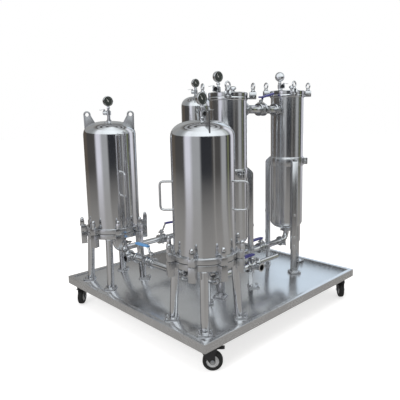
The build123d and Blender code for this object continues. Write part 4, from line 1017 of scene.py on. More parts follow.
class FILTRATION_OT_bolting(bpy.types.Operator):
    """Clamp blocks and bolts with domed nuts round each cartridge housing"""

    bl_idname = "filtration.bolting"
    bl_label = "Clamp bolts"

    def execute(self, context):
        spots = []
        for housing in HOUSINGS.values():
            for index in range(housing["bolts"]):
                turn = housing["bolt_turn"] + 360.0 / housing["bolts"] * index
                spots.append((housing, turn))
        edges = [upright(*polar(housing["at"], housing["radius"] + FLANGE_OVERHANG, turn), 0, turn)
                 for housing, turn in spots]
        rods = [upright(*polar(housing["at"], housing["radius"] + FLANGE_OVERHANG + BOLT_REACH, turn),
                        BELL_TOP + BLOCK_RISE, turn) for housing, turn in spots]
        repeat("bolt_blocks", block_unit(), edges, finish_of("ground"), replaces=("clamp_blocks",))
        repeat("clamp_bolt_rods", rod_unit(), rods, finish_of("tube"), replaces=("clamp_bolts",))
        repeat("acorn_nuts", acorn_unit(), rods, finish_of("tube"))
        return {"FINISHED"}


def slotted_plan(depth, width, slot_half, slot_start, steps=6):
    """Plan of a block with an open round-ended slot on its outer side."""
    arc = [(slot_start - slot_half * sin(pi * step / steps), -slot_half * cos(pi * step / steps))
           for step in range(steps + 1)]
    start = [(0, -width / 2), (depth - 2, -width / 2), (depth, -width / 2 + 2), (depth, -slot_half)]
    end = [(depth, slot_half), (depth, width / 2 - 2), (depth - 2, width / 2), (0, width / 2)]
    return start + arc + end


def block_unit():
    shape = Shape()
    half = BLOCK_WIDTH / 2
    plan = rectangle(0, -half, BLOCK_DEPTH, half, 2.5)
    hole = disc(BOLT_RADIUS + 0.6, (BOLT_REACH, 0))
    shape.prism(plan, BELL_BOTTOM, BELL_TOP + BLOCK_RISE, bevel=1.4, holes=(hole,))
    shape.prism(plan, BASE_BOTTOM - BLOCK_DROP, BASE_TOP, bevel=1.4, holes=(hole,))
    return shape.unit("block")


def thread_outline(radius, bottom, top):
    """Threaded bar as a stack of ridges."""
    count = int((top - bottom) / THREAD_PITCH)
    points = [(0, bottom)]
    for ridge in range(count):
        low = bottom + ridge * THREAD_PITCH
        points += [(radius - THREAD_DEPTH, low), (radius, low + THREAD_PITCH / 2)]
    return [*points, (radius - THREAD_DEPTH, top), (0, top)]


def rod_unit():
    shape = Shape()
    bottom = 6 - BLOCK_DROP - BLOCK_RISE - (BELL_TOP - BASE_BOTTOM)
    shape.lathe(thread_outline(BOLT_RADIUS, bottom, 4), segments=BOLT_SEGMENTS)
    shape.lathe([(0, bottom), (10.5, bottom), (10.5, bottom - 7), (9, bottom - 8.5), (0, bottom - 8.5)],
                segments=6)
    return shape.unit("rod")


def acorn_unit():
    """Thick washer, tall hexagon and dome, base at the origin."""
    shape = Shape()
    shape.lathe(soften([(6.2, 0.1), (15, 0.1), (15, 4), (6.2, 4)], 0.8), segments=28)
    shape.prism(disc(13, segments=6), 4, 33, bevel=1.2)
    steps = 7
    dome = [(10.2 * cos(pi / 2 * k / steps), 38 + 14.6 * sin(pi / 2 * k / steps)) for k in range(steps)]
    shape.lathe([(0, 32), (10.2, 32), *dome, (0, 52.6)], segments=28)
    return shape.unit("acorn")


class FILTRATION_OT_lifting(bpy.types.Operator):
    """D handles on the shells and lifting lugs on the domes"""

    bl_idname = "filtration.lifting"
    bl_label = "Handles and lugs"

    def execute(self, context):
        handles = Shape()
        lugs = Shape()
        for housing in HOUSINGS.values():
            for side in (0.0, 180.0):
                add_handle(handles, housing, housing["handle_turn"] + side)
                add_lug(lugs, housing, housing["lug_turn"] + side)
        handles.finish("d_handles", finish_of("rim"), "skid", "polished_steel", ("lift_handles",))
        lugs.finish("lug_plates", finish_of("plate"), "skid", "satin_steel", ("lifting_lugs",))
        return {"FINISHED"}


def add_handle(shape, housing, turn):
    low = HANDLE_HEIGHT - HANDLE_SPACING / 2
    high = HANDLE_HEIGHT + HANDLE_SPACING / 2
    corners = [(housing["radius"] - 2, low), (housing["radius"] + HANDLE_REACH, low),
               (housing["radius"] + HANDLE_REACH, high), (housing["radius"] - 2, high)]
    path = [Vector((*polar(housing["at"], radius, turn), height)) for radius, height in corners]
    shape.tube(bend(path, 24.0), HANDLE_BAR, 20)
    for height in (low, high):
        root = polar(housing["at"], housing["radius"] - 0.5, turn)
        shape.lathe([(0, -1), (HANDLE_BAR + 3, -1), (HANDLE_BAR + 2, 1.5), (HANDLE_BAR, 3.2), (0, 3.2)],
                    level(*root, height, turn), 24)


def add_lug(shape, housing, turn):
    rise = housing["shoulder"] + housing["dome"]
    eye = (housing["radius"] - LUG_INSET, rise + LUG_RISE)
    crown = [(eye[0] + LUG_EYE * cos(radians(angle)), eye[1] + LUG_EYE * sin(radians(angle)))
             for angle in range(-12, 193, 12)]
    foot = housing["radius"] - 4
    outline = [(foot - 66, rise - 8), (foot, housing["shoulder"] + 4), *crown]
    shape.prism(outline, -4, 4, beside(housing["at"], turn), 1.0, (disc(LUG_HOLE, eye),))


class FILTRATION_OT_gauges(bpy.types.Operator):
    """Pressure gauges, siphons and vent cocks on the five tops"""

    bl_idname = "filtration.gauges"
    bl_label = "Gauges and vents"

    def execute(self, context):
        stems = Shape()
        cases = Shape()
        dials = Shape()
        needles = Shape()
        shade_discs = Shape()
        ticks = []
        for name, gauge in gauge_table().items():
            add_siphon(stems, shade_discs, gauge)
            face = level(*polar(gauge["at"], -GAUGE_SETBACK, gauge["facing"]),
                         gauge["centre"], gauge["facing"])
            add_case(cases, face)
            dials.lathe([(0, 8.4), (28.4, 8.4), (28.4, 9.6), (0, 9.6)], face, 64)
            add_needle(needles, face)
            ticks += [face @ Matrix.Translation((0, 0, 9.6)) @ Matrix.Rotation(radians(15 * step), 4, "Z")
                      @ Matrix.Translation((25.0, 0, 0)) for step in range(3, 22)]
            add_vent_lever(name, gauge)
        stems.finish("siphons", finish_of("tube"), "skid", "polished_steel", ("gauge_stems",))
        cases.finish("gauge_shells", finish_of("mirror"), "skid", "polished_steel", ("gauge_cases",))
        dials.finish("gauge_dials", finish_of("dial"), "skid", "polished_steel")
        needles.finish("gauge_needles", finish_of("white"), "skid", "polished_steel")
        # Painted shade: near-black discs inside the vent outlets.
        shade_discs.finish("vent_bores", finish_of("shadow"), "skid", "polished_steel")
        tick = Shape()
        tick.prism(rectangle(-2.4, -0.45, 2.4, 0.45), -0.1, 0.25, bevel=0.05)
        repeat("gauge_ticks", tick.unit("tick"), ticks, finish_of("white"))
        return {"FINISHED"}


def gauge_table():
    """Place, heights and turns of each gauge, by the vessel that carries it."""
    table = {}
    for name, gauge in GAUGES.items():
        if name in HOUSINGS:
            vessel = HOUSINGS[name]
            at, base = vessel["at"], vessel["shoulder"] + vessel["dome"]
        else:
            vessel = BAGS[name]
            at = polar(vessel["at"], vessel["gauge_offset"], BAG_GAUGE_SIDE)
            base = vessel["top"] + BAG_LID_TOP
        table[name] = {**gauge, "at": at, "base": base, "centre": base + gauge["centre"],
                       "cock": base + gauge["vent_rise"]}
    return table


def add_siphon(shape, shade_discs, gauge):
    x, y = gauge["at"]
    base = gauge["base"]
    rise = gauge["vent_rise"]
    top = gauge["centre"] - GAUGE_RADIUS + 2 - base
    place = upright(x, y, base)
    shape.lathe([(0, -3), (15, -3), (15, 5), (10, 8), (9, max(rise - 15, 9)), (14, rise - 13),
                 (14, rise + 11), (10, rise + 14), (7.5, rise + 16), (7, top - 8), (8.5, top - 7),
                 (8.5, top), (0, top)], place, 36)
    shape.prism(disc(11.5, segments=6), top - 16, top - 6, place, 0.8)
    cock = level(x, y, gauge["cock"], gauge["vent"])
    body = VENT_BODY_RADIUS
    shape.lathe([(0, 0), (body - 1, 0), (body - 1, 14), (body, 16), (body, 30), (body - 2, VENT_REACH),
                 (0, VENT_REACH)], cock, 32)
    spot = polar(gauge["at"], 16.0, gauge["vent"])
    outlet = level(*spot, gauge["cock"], gauge["outlet"])
    shape.lathe([(8, 0), (11, 0), (11, 12), (14.5, 13.5), (14.5, 20), (13, 22), (9.5, 22), (9.5, 12),
                 (8, 12)],
                outlet, 32)
    # A near-black disc a little inside the vent outlet: painted shade for the inside of its bore.
    shade_discs.lathe([(0, 11), (9.6, 11), (9.6, 13), (0, 13)], outlet, 28)
    boss = polar(gauge["at"], VENT_BOSS_REACH, gauge["vent"])
    stem = upright(*boss, gauge["cock"])
    shape.lathe([(0, 0), (5.5, 0), (5.5, VENT_BOSS_RISE), (2.4, VENT_BOSS_RISE), (2.4, 20.4), (4.2, 20.4),
                 (4.2, 22.6), (3.4, 23.4), (0, 23.4)], stem, 20)


def add_case(shape, face):
    """A mirror-polished case with a deep rounded back and a raised bezel."""
    back = [(0, -15), (12, -14.8), (20, -13.6), (26, -10.6), (29.6, -6), (31, 0), (31, 7), (31.5, 8),
            (31.5, 13),
            (30.6, 14.6), (28.8, 15), (28, 13), (27.6, 9.8), (27.6, 7), (0, 7)]
    shape.lathe(back, face, 72)


def add_needle(shape, face):
    turned = face @ Matrix.Rotation(radians(215), 4, "Z")
    shape.prism([(-7, -1.1), (0, -1.4), (22, -0.3), (22, 0.3), (0, 1.4), (-7, 1.1)], 10.4, 11.2, turned, 0.15)
    shape.lathe([(0, 9.6), (3.2, 9.6), (3.2, 11.6), (2.4, 12.2), (0, 12.4)], turned, 20)


def add_vent_lever(name, gauge):
    boss = polar(gauge["at"], VENT_BOSS_REACH, gauge["vent"])
    bottom = gauge["cock"] + VENT_BOSS_RISE + 0.35
    place = beside(boss, gauge["vent"])
    lever = Shape()
    steps = 16
    spine = [(5 + 27 * k / steps, bottom + 1.3 + 1.4 * sin(2 * pi * k / steps)) for k in range(steps + 1)]
    upper = [(x, z + 1.3) for x, z in spine]
    lower = [(x, z - 1.3) for x, z in reversed(spine)]
    lever.prism(upper + lower, -5, 5, place, 0.5)
    lever.prism(disc(7.5, segments=28), bottom, bottom + 2.6, upright(*boss), 0.5, (disc(2.7, segments=20),))
    lever.finish(f"{name}_vent_handle", finish_of("tube"), f"{name}_vent", "polished_steel",
                 (f"{name}_vent_lever",))


class FILTRATION_OT_bag_filters(bpy.types.Operator):
    """Bodies, lids, collars, channel legs and eye bolts of the bag filters"""

    bl_idname = "filtration.bag_filters"
    bl_label = "Bag filters"

    def execute(self, context):
        bodies = Shape()
        trims = Shape()
        lids = Shape()
        collars = Shape()
        legs = Shape()
        posts = Shape()
        bolts = []
        blocks = []
        eyes = []
        for bag in BAGS.values():
            add_bag_body(bodies, trims, bag)
            add_bag_top(trims, lids, collars, bag)
            for index in range(3):
                turn = bag["leg_turn"] + 120.0 * index
                bolts += add_channel_leg(legs, posts, bag, turn)
            for index in range(4):
                turn = bag["bolt_turn"] + 90.0 * index
                lift = bag["top"] + EYE_BLOCK_LIFT
                blocks.append(upright(*polar(bag["at"], BAG_RADIUS + 5, turn), lift, turn))
                eyes.append(upright(*polar(bag["at"], EYE_CIRCLE, turn), lift + EYE_BLOCK_HEIGHT,
                                    turn + EYE_RING_TURN))
        bodies.finish("bag_bodies", finish_of("satin_mirror"), "skid", "polished_steel", ("bag_shells",))
        trims.finish("bag_rims", finish_of("tube"), "skid", "polished_steel", ("bag_flanges",))
        lids.finish("bag_lid_plates", finish_of("tube"), "skid", "polished_steel", ("bag_lids",))
        collars.finish("bag_bands", finish_of("ground"), "skid", "satin_steel", ("bag_collars",))
        legs.finish("channel_legs", finish_of("ground"), "skid", "satin_steel", ("bag_legs",))
        posts.finish("channel_posts", finish_of("ground"), "skid", "satin_steel", ("bag_leg_posts",))
        repeat("leg_bolts", bolt_head_unit(6.5, 4.5, 8.5), bolts, finish_of("tube"))
        repeat("eye_lugs", eye_block_unit(), blocks, finish_of("ground"), replaces=("eye_blocks",))
        repeat("eye_nuts", eye_nut_unit(), eyes, finish_of("tube"), replaces=("eye_bolts",))
        return {"FINISHED"}


def add_bag_body(shape, trims, bag):
    place = upright(*bag["at"])
    steps = 24
    outside = [(BAG_RADIUS, bag["top"])]
    inside = [(BAG_RADIUS - SHELL_WALL, bag["top"])]
    for step in range(steps + 1):
        turn = radians(80.0) * step / steps
        outside.append((BAG_RADIUS * cos(turn), BAG_KNUCKLE - BAG_DISH * sin(turn)))
        inside.append(((BAG_RADIUS - 3) * cos(turn), BAG_KNUCKLE - (BAG_DISH - 3) * sin(turn)))
    shape.lathe([*outside, *reversed(inside)], place, RING_SEGMENTS)
    add_nozzle(trims, bag["at"], BAG_KNUCKLE - BAG_DISH + 3)
    side = bag["link_side"]
    reach = BAG_RADIUS + LINK_NOZZLE
    spout = level(bag["at"][0], bag["at"][1], LINK_HEIGHT, 0.0 if side > 0 else 180.0)
    trims.lathe(ferrule_outline(LINK, reach, -1, LINK_NOZZLE + 4), spout)
    trims.lathe(bead(LINK["radius"] + 0.5, BAG_RADIUS - 1.5, 3), spout)
    trims.lathe(bead(BAG_RADIUS - 0.9, BAG_KNUCKLE, 1.4), place, RING_SEGMENTS)


def add_bag_top(rims, lids, collars, bag):
    place = upright(*bag["at"], bag["top"])
    rim = [(BAG_RADIUS - 1, 0), (BAG_RADIUS + 2, 0), (BAG_RADIUS + 5, 4), (BAG_RADIUS + 5, BAG_FLANGE_TOP),
           (BAG_RADIUS - 1, BAG_FLANGE_TOP)]
    rims.lathe(soften(rim, 1.6), place, RING_SEGMENTS)
    top = BAG_LID_TOP
    lid = [(0, BAG_LID_BOTTOM), (BAG_RADIUS + 5, BAG_LID_BOTTOM), (BAG_RADIUS + 5, top - 5),
           (BAG_RADIUS + 2.5, top - 1.5), (BAG_RADIUS - 6, top), (BAG_RADIUS - 20, top),
           (BAG_RADIUS - 23, top - 2.5), (0, top - 2.5)]
    lids.lathe(lid, place, RING_SEGMENTS)
    knob = upright(*polar(bag["at"], 30, -46), bag["top"])
    lids.lathe([(0, top - 4), (13, top - 4), (13, top + 6), (10, top + 8), (10, top + 16), (17, top + 18),
                (19, top + 24), (17, top + 31), (9, top + 35), (0, top + 36)], knob, 32)
    low = bag["collar"] - bag["top"]
    high = low + COLLAR_HEIGHT
    band = [(BAG_RADIUS, low), (BAG_RADIUS + 5, low), (BAG_RADIUS + 6, low + 2), (BAG_RADIUS + 6, high - 2),
            (BAG_RADIUS + 5, high), (BAG_RADIUS, high)]
    collars.lathe(band, place, RING_SEGMENTS)
    middle = (low + high) / 2
    for side in (-1, 1):
        ear = rectangle(BAG_RADIUS + 4, middle - 22, BAG_RADIUS + 32, middle + 22, 4)
        collars.prism(ear, side * 8 - 3, side * 8 + 3, beside(bag["at"], bag["leg_turn"] - 60)
                      @ Matrix.Translation((0, bag["top"], 0)), 1.0)
    ear_centre = Matrix.Translation((BAG_RADIUS + 20, bag["top"] + middle, 0))
    bolt = beside(bag["at"], bag["leg_turn"] - 60) @ ear_centre
    for flip in (Matrix(), Matrix.Rotation(pi, 4, "X")):
        collars.lathe([(0, 0), (4, 0), (4, 11.2), (9, 11.2), (9, 12.8), (0, 12.8)], bolt @ flip, 20)
        collars.prism(disc(7.5, segments=6), 12.8, 19, bolt @ flip, 0.8)


def add_channel_leg(legs, posts, bag, turn):
    """Adds a channel leg with a sloped head and its lower post, and returns the bolt places."""
    place = beside(bag["at"], turn)
    outer = BAG_LEG_WEB
    inner = outer - BAG_LEG_DEPTH
    half = BAG_LEG_WIDTH / 2
    top = bag["collar"] + COLLAR_HEIGHT
    cheek = [(inner, BAG_LEG_BOTTOM), (outer - 0.4, BAG_LEG_BOTTOM), (outer - 0.4, top - 34),
             (outer - 5, top - 24), (inner, top)]
    for low, high in ((half - BAG_LEG_SHEET, half), (-half, BAG_LEG_SHEET - half)):
        legs.prism(cheek, low, high, place, 0.8)
    web = [(outer - BAG_LEG_SHEET, BAG_LEG_BOTTOM), (outer, BAG_LEG_BOTTOM), (outer, top - 34),
           (outer - 4, top - 26), (outer - 7, top - 26)]
    legs.prism(web, -half + 1, half - 1, place, 0.8)
    slack = BAG_LEG_SHEET + 0.2
    start = outer - slack
    narrow = half - slack
    for low, high in ((narrow - BAG_LEG_SHEET, narrow), (-narrow, BAG_LEG_SHEET - narrow)):
        posts.prism(rectangle(inner, FOOT_TOP, start, 600), low, high, place, 0.6)
    posts.prism(rectangle(start - BAG_LEG_SHEET, FOOT_TOP, start, 600), -narrow, narrow, place, 0.6)
    spot = polar(bag["at"], outer, turn)
    return [level(*spot, height, turn) for height in (355, 417, 569)]


def eye_block_unit():
    """Slotted block on a low neck: local X outward from the rim, base at the origin."""
    shape = Shape()
    reach = EYE_CIRCLE - BAG_RADIUS - 5 - EYE_NECK
    shape.prism(slotted_plan(40, 36, 7.2, reach), 0, EYE_BLOCK_HEIGHT,
                Matrix.Translation((EYE_NECK, 0, 0)), 1.4)
    shape.prism(rectangle(-1, -10, EYE_NECK + 1, 10), 0.4, 12, bevel=0.8)
    pin = Matrix.Rotation(radians(90), 4, "X") @ Matrix.Translation((EYE_NECK + reach + 2, 12, 0))
    shape.lathe([(0, -20.5), (5, -20.5), (6, -19), (6, 19), (5, 20.5), (0, 20.5)], pin, 20)
    return shape.unit("eye_lug")


def eye_nut_unit():
    """Threaded rod with a flanged eye nut, block top at the origin."""
    shape = Shape()
    shape.lathe(thread_outline(6.9, 1 - EYE_BLOCK_HEIGHT, 2), segments=BOLT_SEGMENTS)
    shape.lathe([(0, 0.1), (14, 0.1), (14, 5), (11, 9), (9, 14), (0, 15)], segments=28)
    steps = 32
    turns = [2 * pi * k / steps for k in range(steps)]
    ring = [Vector((0, 14.5 * sin(turn), 31 - 18 * cos(turn))) for turn in turns]
    shape.tube(ring, 4.8, 14, True)
    return shape.unit("eye_nut")


class FILTRATION_OT_pipework(bpy.types.Operator):
    """Bends, tees and straight tubes with their clamp lips"""

    bl_idname = "filtration.pipework"
    bl_label = "Pipework"

    def execute(self, context):
        elbows = Shape()
        tees = Shape()
        spools = Shape()
        shade_discs = Shape()
        left, front, rear = (HOUSINGS[name]["at"] for name in ("left", "front", "rear"))
        middle, right = (BAGS[name]["at"] for name in ("middle", "right"))
        for spot, turn in ((left, 0), (rear, 180),
                           (nozzle_spots("left")[1], -90), (nozzle_spots("front")[1], 90),
                           (front, 0), (right, 180), (middle, 0)):
            add_elbow(elbows, spot, turn)
        add_tee(tees, shade_discs, (left[0], MANIFOLD_TEE_Y), 90, 180, MANIFOLD_BRANCH)
        add_tee(tees, shade_discs, (FRONT_TEE_X, front[1]), 0, -90, FRONT_BRANCH)
        for begin, end, height, size in spool_table():
            add_spool(spools, begin, end, height, size)
        stub_start = FRONT_TEE_X + TEE_HALF
        stub_length = STUB_END - stub_start
        bore = STUB_RADIUS - 1.5
        spools.lathe([(bore, 0), (TUBE["lip"], 0), (TUBE["lip"], FERRULE - 0.6),
                      (STUB_RADIUS + 2, FERRULE + 3),
                      (STUB_RADIUS, FERRULE + 6), (STUB_RADIUS, stub_length), (bore, stub_length)],
                     level(stub_start, front[1], PIPE_HEIGHT, 0))
        # A near-black disc 30 mm inside the stub's open end: painted shade for the inside of its bore.
        shade_discs.lathe([(0, 30), (bore, 30), (bore, 33), (0, 33)],
                    level(STUB_END, front[1], PIPE_HEIGHT, 180), 32)
        elbows.finish("bends", finish_of("tube"), "skid", "polished_steel", ("pipe_elbows",))
        tees.finish("three_way_pieces", finish_of("tube"), "skid", "polished_steel", ("pipe_tees",))
        spools.finish("straight_tubes", finish_of("tube"), "skid", "polished_steel", ("pipe_spools",))
        # Painted shade: near-black discs inside the tee branches and the open stub.
        shade_discs.finish("dark_bores", finish_of("shadow"), "skid", "polished_steel")
        return {"FINISHED"}


def add_elbow(shape, spot, turn):
    steps = 24
    centre = polar(spot, ELBOW_RADIUS, turn)
    top = PIPE_HEIGHT + ELBOW_RADIUS
    path = [Vector((*spot, top + ELBOW_TANGENT - FERRULE - 4))]
    for step in range(steps + 1):
        angle = radians(90.0 * step / steps)
        reach = ELBOW_RADIUS * (1 - cos(angle))
        path.append(Vector((*polar(spot, reach, turn), top - ELBOW_RADIUS * sin(angle))))
    path.append(Vector((*polar(centre, ELBOW_TANGENT - FERRULE - 4, turn), PIPE_HEIGHT)))
    shape.tube(path, TUBE["radius"], TUBE_SEGMENTS)
    lip_length = FERRULE + 8
    shape.lathe(ferrule_outline(TUBE, top + ELBOW_TANGENT, -1, lip_length), upright(*spot))
    end = polar(centre, ELBOW_TANGENT, turn)
    shape.lathe(ferrule_outline(TUBE, 0, -1, lip_length), level(*end, PIPE_HEIGHT, turn))


def add_tee(shape, shade_discs, centre, run_turn, branch_turn, branch):
    for turn in (run_turn, run_turn + 180):
        end = polar(centre, TEE_HALF, turn)
        shape.lathe(ferrule_outline(TUBE, 0, -1, TEE_HALF - 2), level(*end, PIPE_HEIGHT, turn))
    reach = TEE_HALF - 6
    run = level(*polar(centre, -reach, run_turn), PIPE_HEIGHT, run_turn)
    shape.lathe([(0, 0), (TUBE["radius"] + 0.2, 0), (TUBE["radius"] + 0.2, 2 * reach), (0, 2 * reach)], run)
    end = polar(centre, branch, branch_turn)
    mouth = level(*end, PIPE_HEIGHT, branch_turn)
    shape.lathe(ferrule_outline(TUBE, 0, -1, branch - 12), mouth)
    # A near-black disc deep inside the branch mouth: painted shade for the inside of the tee.
    shade_discs.lathe([(0, -branch + 24), (17.3, -branch + 24), (17.3, -branch + 27), (0, -branch + 27)], mouth, 32)
    shape.lathe([(TUBE["radius"], 16), (TUBE["radius"] + 4, 18), (TUBE["radius"] + 1, 24),
                 (TUBE["radius"], 26)],
                level(*centre, PIPE_HEIGHT, branch_turn))


def spool_table():
    """Start, end, height and size of each straight tube."""
    left, front, rear = (HOUSINGS[name]["at"] for name in ("left", "front", "rear"))
    middle, right = (BAGS[name]["at"] for name in ("middle", "right"))
    run, manifold, bag, link = (VALVES[name]["at"] for name in ("run", "manifold", "bag", "link"))
    link_left = middle[0] + BAG_RADIUS + LINK_NOZZLE
    link_right = right[0] - BAG_RADIUS - LINK_NOZZLE
    level_runs = [
        ((left[0] + ELBOW_REACH, left[1]), (run[0] - VALVE_HALF, left[1])),
        ((run[0] + VALVE_HALF, left[1]), (rear[0] - ELBOW_REACH, left[1])),
        ((left[0], MANIFOLD_TEE_Y - TEE_HALF), (left[0], manifold[1] + VALVE_HALF)),
        ((left[0], manifold[1] - VALVE_HALF), (left[0], nozzle_spots("front")[1][1] + ELBOW_REACH)),
        ((front[0] + ELBOW_REACH, front[1]), (FRONT_TEE_X - TEE_HALF, front[1])),
        ((middle[0] + ELBOW_REACH, middle[1]), (bag[0] - VALVE_HALF, middle[1])),
        ((bag[0] + VALVE_HALF, middle[1]), (right[0] - ELBOW_REACH, middle[1])),
    ]
    link_runs = [
        ((link_left, middle[1]), (link[0] - VALVE_HALF, middle[1])),
        ((link[0] + VALVE_HALF, middle[1]), (link_right, middle[1])),
    ]
    return ([(*run, PIPE_HEIGHT, TUBE) for run in level_runs]
            + [(*run, LINK_HEIGHT, LINK) for run in link_runs])


def add_spool(shape, begin, end, height, size):
    length = hypot(end[0] - begin[0], end[1] - begin[1])
    turn = 0.0 if abs(end[0] - begin[0]) > 1 else (90.0 if end[1] > begin[1] else -90.0)
    bore = size["radius"] - size["wall"]
    half = [(bore, 0), (size["lip"], 0), (size["lip"], FERRULE - 0.6), (size["radius"] + 1, FERRULE + 3),
            (size["radius"], FERRULE + 5)]
    other = [(radius, length - along) for radius, along in reversed(half)]
    shape.lathe(half + other, level(*begin, height, turn))


class FILTRATION_OT_valves(bpy.types.Operator):
    """Butterfly valve bodies and their hand levers"""

    bl_idname = "filtration.valves"
    bl_label = "Valves"

    def execute(self, context):
        bodies = Shape()
        bolts = []
        for name, valve in VALVES.items():
            size = LINK if name == "link" else TUBE
            bolts += add_valve_body(bodies, name, valve, size)
            add_valve_handle(name, valve)
        bodies.finish("valve_castings", finish_of("tube"), "skid", "polished_steel", ("valve_bodies",))
        repeat("valve_screws", bolt_head_unit(4.2, 3.2, 5.0), bolts, finish_of("tube"))
        return {"FINISHED"}


def add_valve_body(shape, name, valve, size):
    """Adds a body with its neck, and returns the places of the screw heads."""
    x, y, z = valve["at"]
    radius = size["radius"]
    neck = valve["neck"]
    place = upright(x, y, z)
    start = 24 if name == "front" else radius
    shape.lathe([(0, start), (11, start), (11, start + 4), (9, start + 6), (9, neck), (15, neck),
                 (22, neck + 0.4),
                 (22, neck + 3), (4.6, neck + 3), (4.6, neck - 2), (0, neck - 2)], place, 36)
    if name == "front":
        shape.lathe([(0, -27), (21, -27), (26, -24), (26, 24), (21, 27), (0, 27)], place, 56)
        return [place @ Matrix.Rotation(radians(angle), 4, "Z") @ Matrix.Translation((17.5, 0, 27))
                for angle in (45, 135, 225, 315)]
    axis = level(x, y, z, valve["pipe_turn"])
    bore = radius - size["wall"]
    half = [(bore, VALVE_HALF), (size["lip"], VALVE_HALF), (size["lip"], VALVE_HALF - 2.4),
            (radius + 1.5, VALVE_HALF - 6), (radius + 1.5, 13), (radius + 9, 11), (radius + 9, 1.2),
            (radius + 7.5, 0.5)]
    shape.lathe(half + [(r, -h) for r, h in reversed(half)], axis, 56)
    return [axis @ flip @ Matrix.Rotation(radians(angle), 4, "Z") @ Matrix.Translation((radius + 4.6, 0, 11))
            for angle in (45, 135, 225, 315) for flip in (Matrix(), Matrix.Rotation(pi, 4, "X"))]


def add_valve_handle(name, valve):
    """Adds the cranked steel lever with its hub and the plastic sleeve over the grip."""
    x, y, z = valve["at"]
    hub = z + valve["neck"] + 3.35
    rise = z + valve["rise"] - LEVER_THICKNESS / 2
    side = beside((x, y), valve["lever_turn"])
    steel = Shape()
    steel.lathe([(4.1, hub), (11.5, hub), (12, hub + 1), (12, hub + 12), (10.5, hub + 14), (4.1, hub + 14)],
                upright(x, y), 32)
    steel.lathe([(0, hub + 1), (3.9, hub + 1), (3.9, hub + 14.2), (7, hub + 14.2), (7, hub + 16),
                 (0, hub + 16)],
                upright(x, y), 24)
    steps = 12
    reach = valve["reach"]
    crank = valve["crank"]
    low = hub + 8
    spine = []
    for step in range(steps + 1):
        t = step / steps
        spine.append((8 + (crank - 8) * t, low + (rise - low) * (3 * t**2 - 2 * t**3)))
    spine.append((reach - 6, rise + valve["tilt"] * (reach - 6 - crank) / (reach - crank)))
    band = [(a, b + 2) for a, b in spine] + [(a, b - 2) for a, b in reversed(spine)]
    steel.prism(band, -9, 9, side, 0.8)
    steel.finish(f"{name}_crank", finish_of("tube"), f"{name}_valve", "polished_steel",
                 (f"{name}_valve_handle",))
    sleeve = Shape()
    start = crank - 6 if crank > 20 else -10.0
    top = []
    under = []
    steps = 20
    for step in range(steps + 1):
        t = step / steps
        along = start + (reach - start) * t
        middle = rise + 0.7 * sin(pi * t * 2) + valve["tilt"] * max(along - crank, 0.0) / (reach - crank)
        swell = LEVER_THICKNESS / 2 - 1.1 * abs(2 * t - 1) ** 3
        top.append((along, middle + swell))
        under.append((along, middle - swell))
    sleeve.prism(top + under[::-1], -LEVER_WIDTH / 2, LEVER_WIDTH / 2, side, 3.2)
    colour = "blue" if name == "manifold" else "purple"
    sleeve.finish(f"{name}_sleeve", finish_of(colour), f"{name}_valve", f"lever_{colour}")


class FILTRATION_OT_clamps(bpy.types.Operator):
    """Ferrule clamps with wing nuts at every pipe joint"""

    bl_idname = "filtration.clamps"
    bl_label = "Ferrule clamps"

    def execute(self, context):
        small, large = clamp_table()
        repeat("tube_clamps", clamp_unit(TUBE), small, finish_of("cast"),
               replaces=("pipe_clamps",))
        repeat("link_clamps", clamp_unit(LINK), large, finish_of("cast"))
        return {"FINISHED"}


def clamp_unit(size):
    """Two-part clamp ring: pipe along local Z, ears and wing nut on local +X, hinge on -X."""
    shape = Shape()
    outer = size["clamp"]
    lip = size["lip"] + 0.3
    half = CLAMP_WIDTH / 2
    ring = [(size["land"], -half), (outer - 3, -half), (outer, -half + 3), (outer, half - 3),
            (outer - 3, half),
            (size["land"], half), (size["land"], half - 2.5), (lip, half - 4), (lip, 4 - half),
            (size["land"], 2.5 - half)]
    shape.lathe(ring, segments=48)
    for low, high in ((1.6, 9.0), (-9.0, -1.6)):
        ear = rectangle(outer - 4, low, outer + 14, high, 2)
        shape.prism(ear, -half + 0.8, half - 0.8, bevel=1.2)
    shape.lathe([(0, -half), (5, -half), (5.5, -half + 1), (5.5, half - 1), (5, half), (0, half)],
                Matrix.Translation((-outer - 2.5, 0, 0)), 20)
    across = Matrix.Translation((outer + 8.2, 0, 0)) @ Matrix.Rotation(radians(-90), 4, "X")
    shape.lathe([(0, -14), (6, -14), (6, -9.4), (3.2, -9.2), (3.2, 24), (2.6, 25), (0, 25)], across, 16)
    shape.lathe([(3.3, 9.4), (7.5, 9.4), (7.0, 14), (5.5, 19), (3.3, 19)], across, 20)
    wing = [(4, 12), (8, 13), (12, 18), (13, 24), (10, 26), (6, 22), (3.5, 18)]
    for flip in (1, -1):
        outline = [(flip * a, b) for a, b in wing]
        shape.prism(soften(outline, 1.8), -2, 2, Matrix.Translation((outer + 8.2, 0, 0)), 0.9)
    return shape.unit("clamp")


def clamp_place(at, along, wing):
    """Place of a clamp: local Z along the pipe, local X towards the wing."""
    z = Vector(along)
    x = Vector(wing)
    turned = Matrix((x, z.cross(x), z)).transposed().to_4x4()
    return Matrix.Translation(at) @ turned


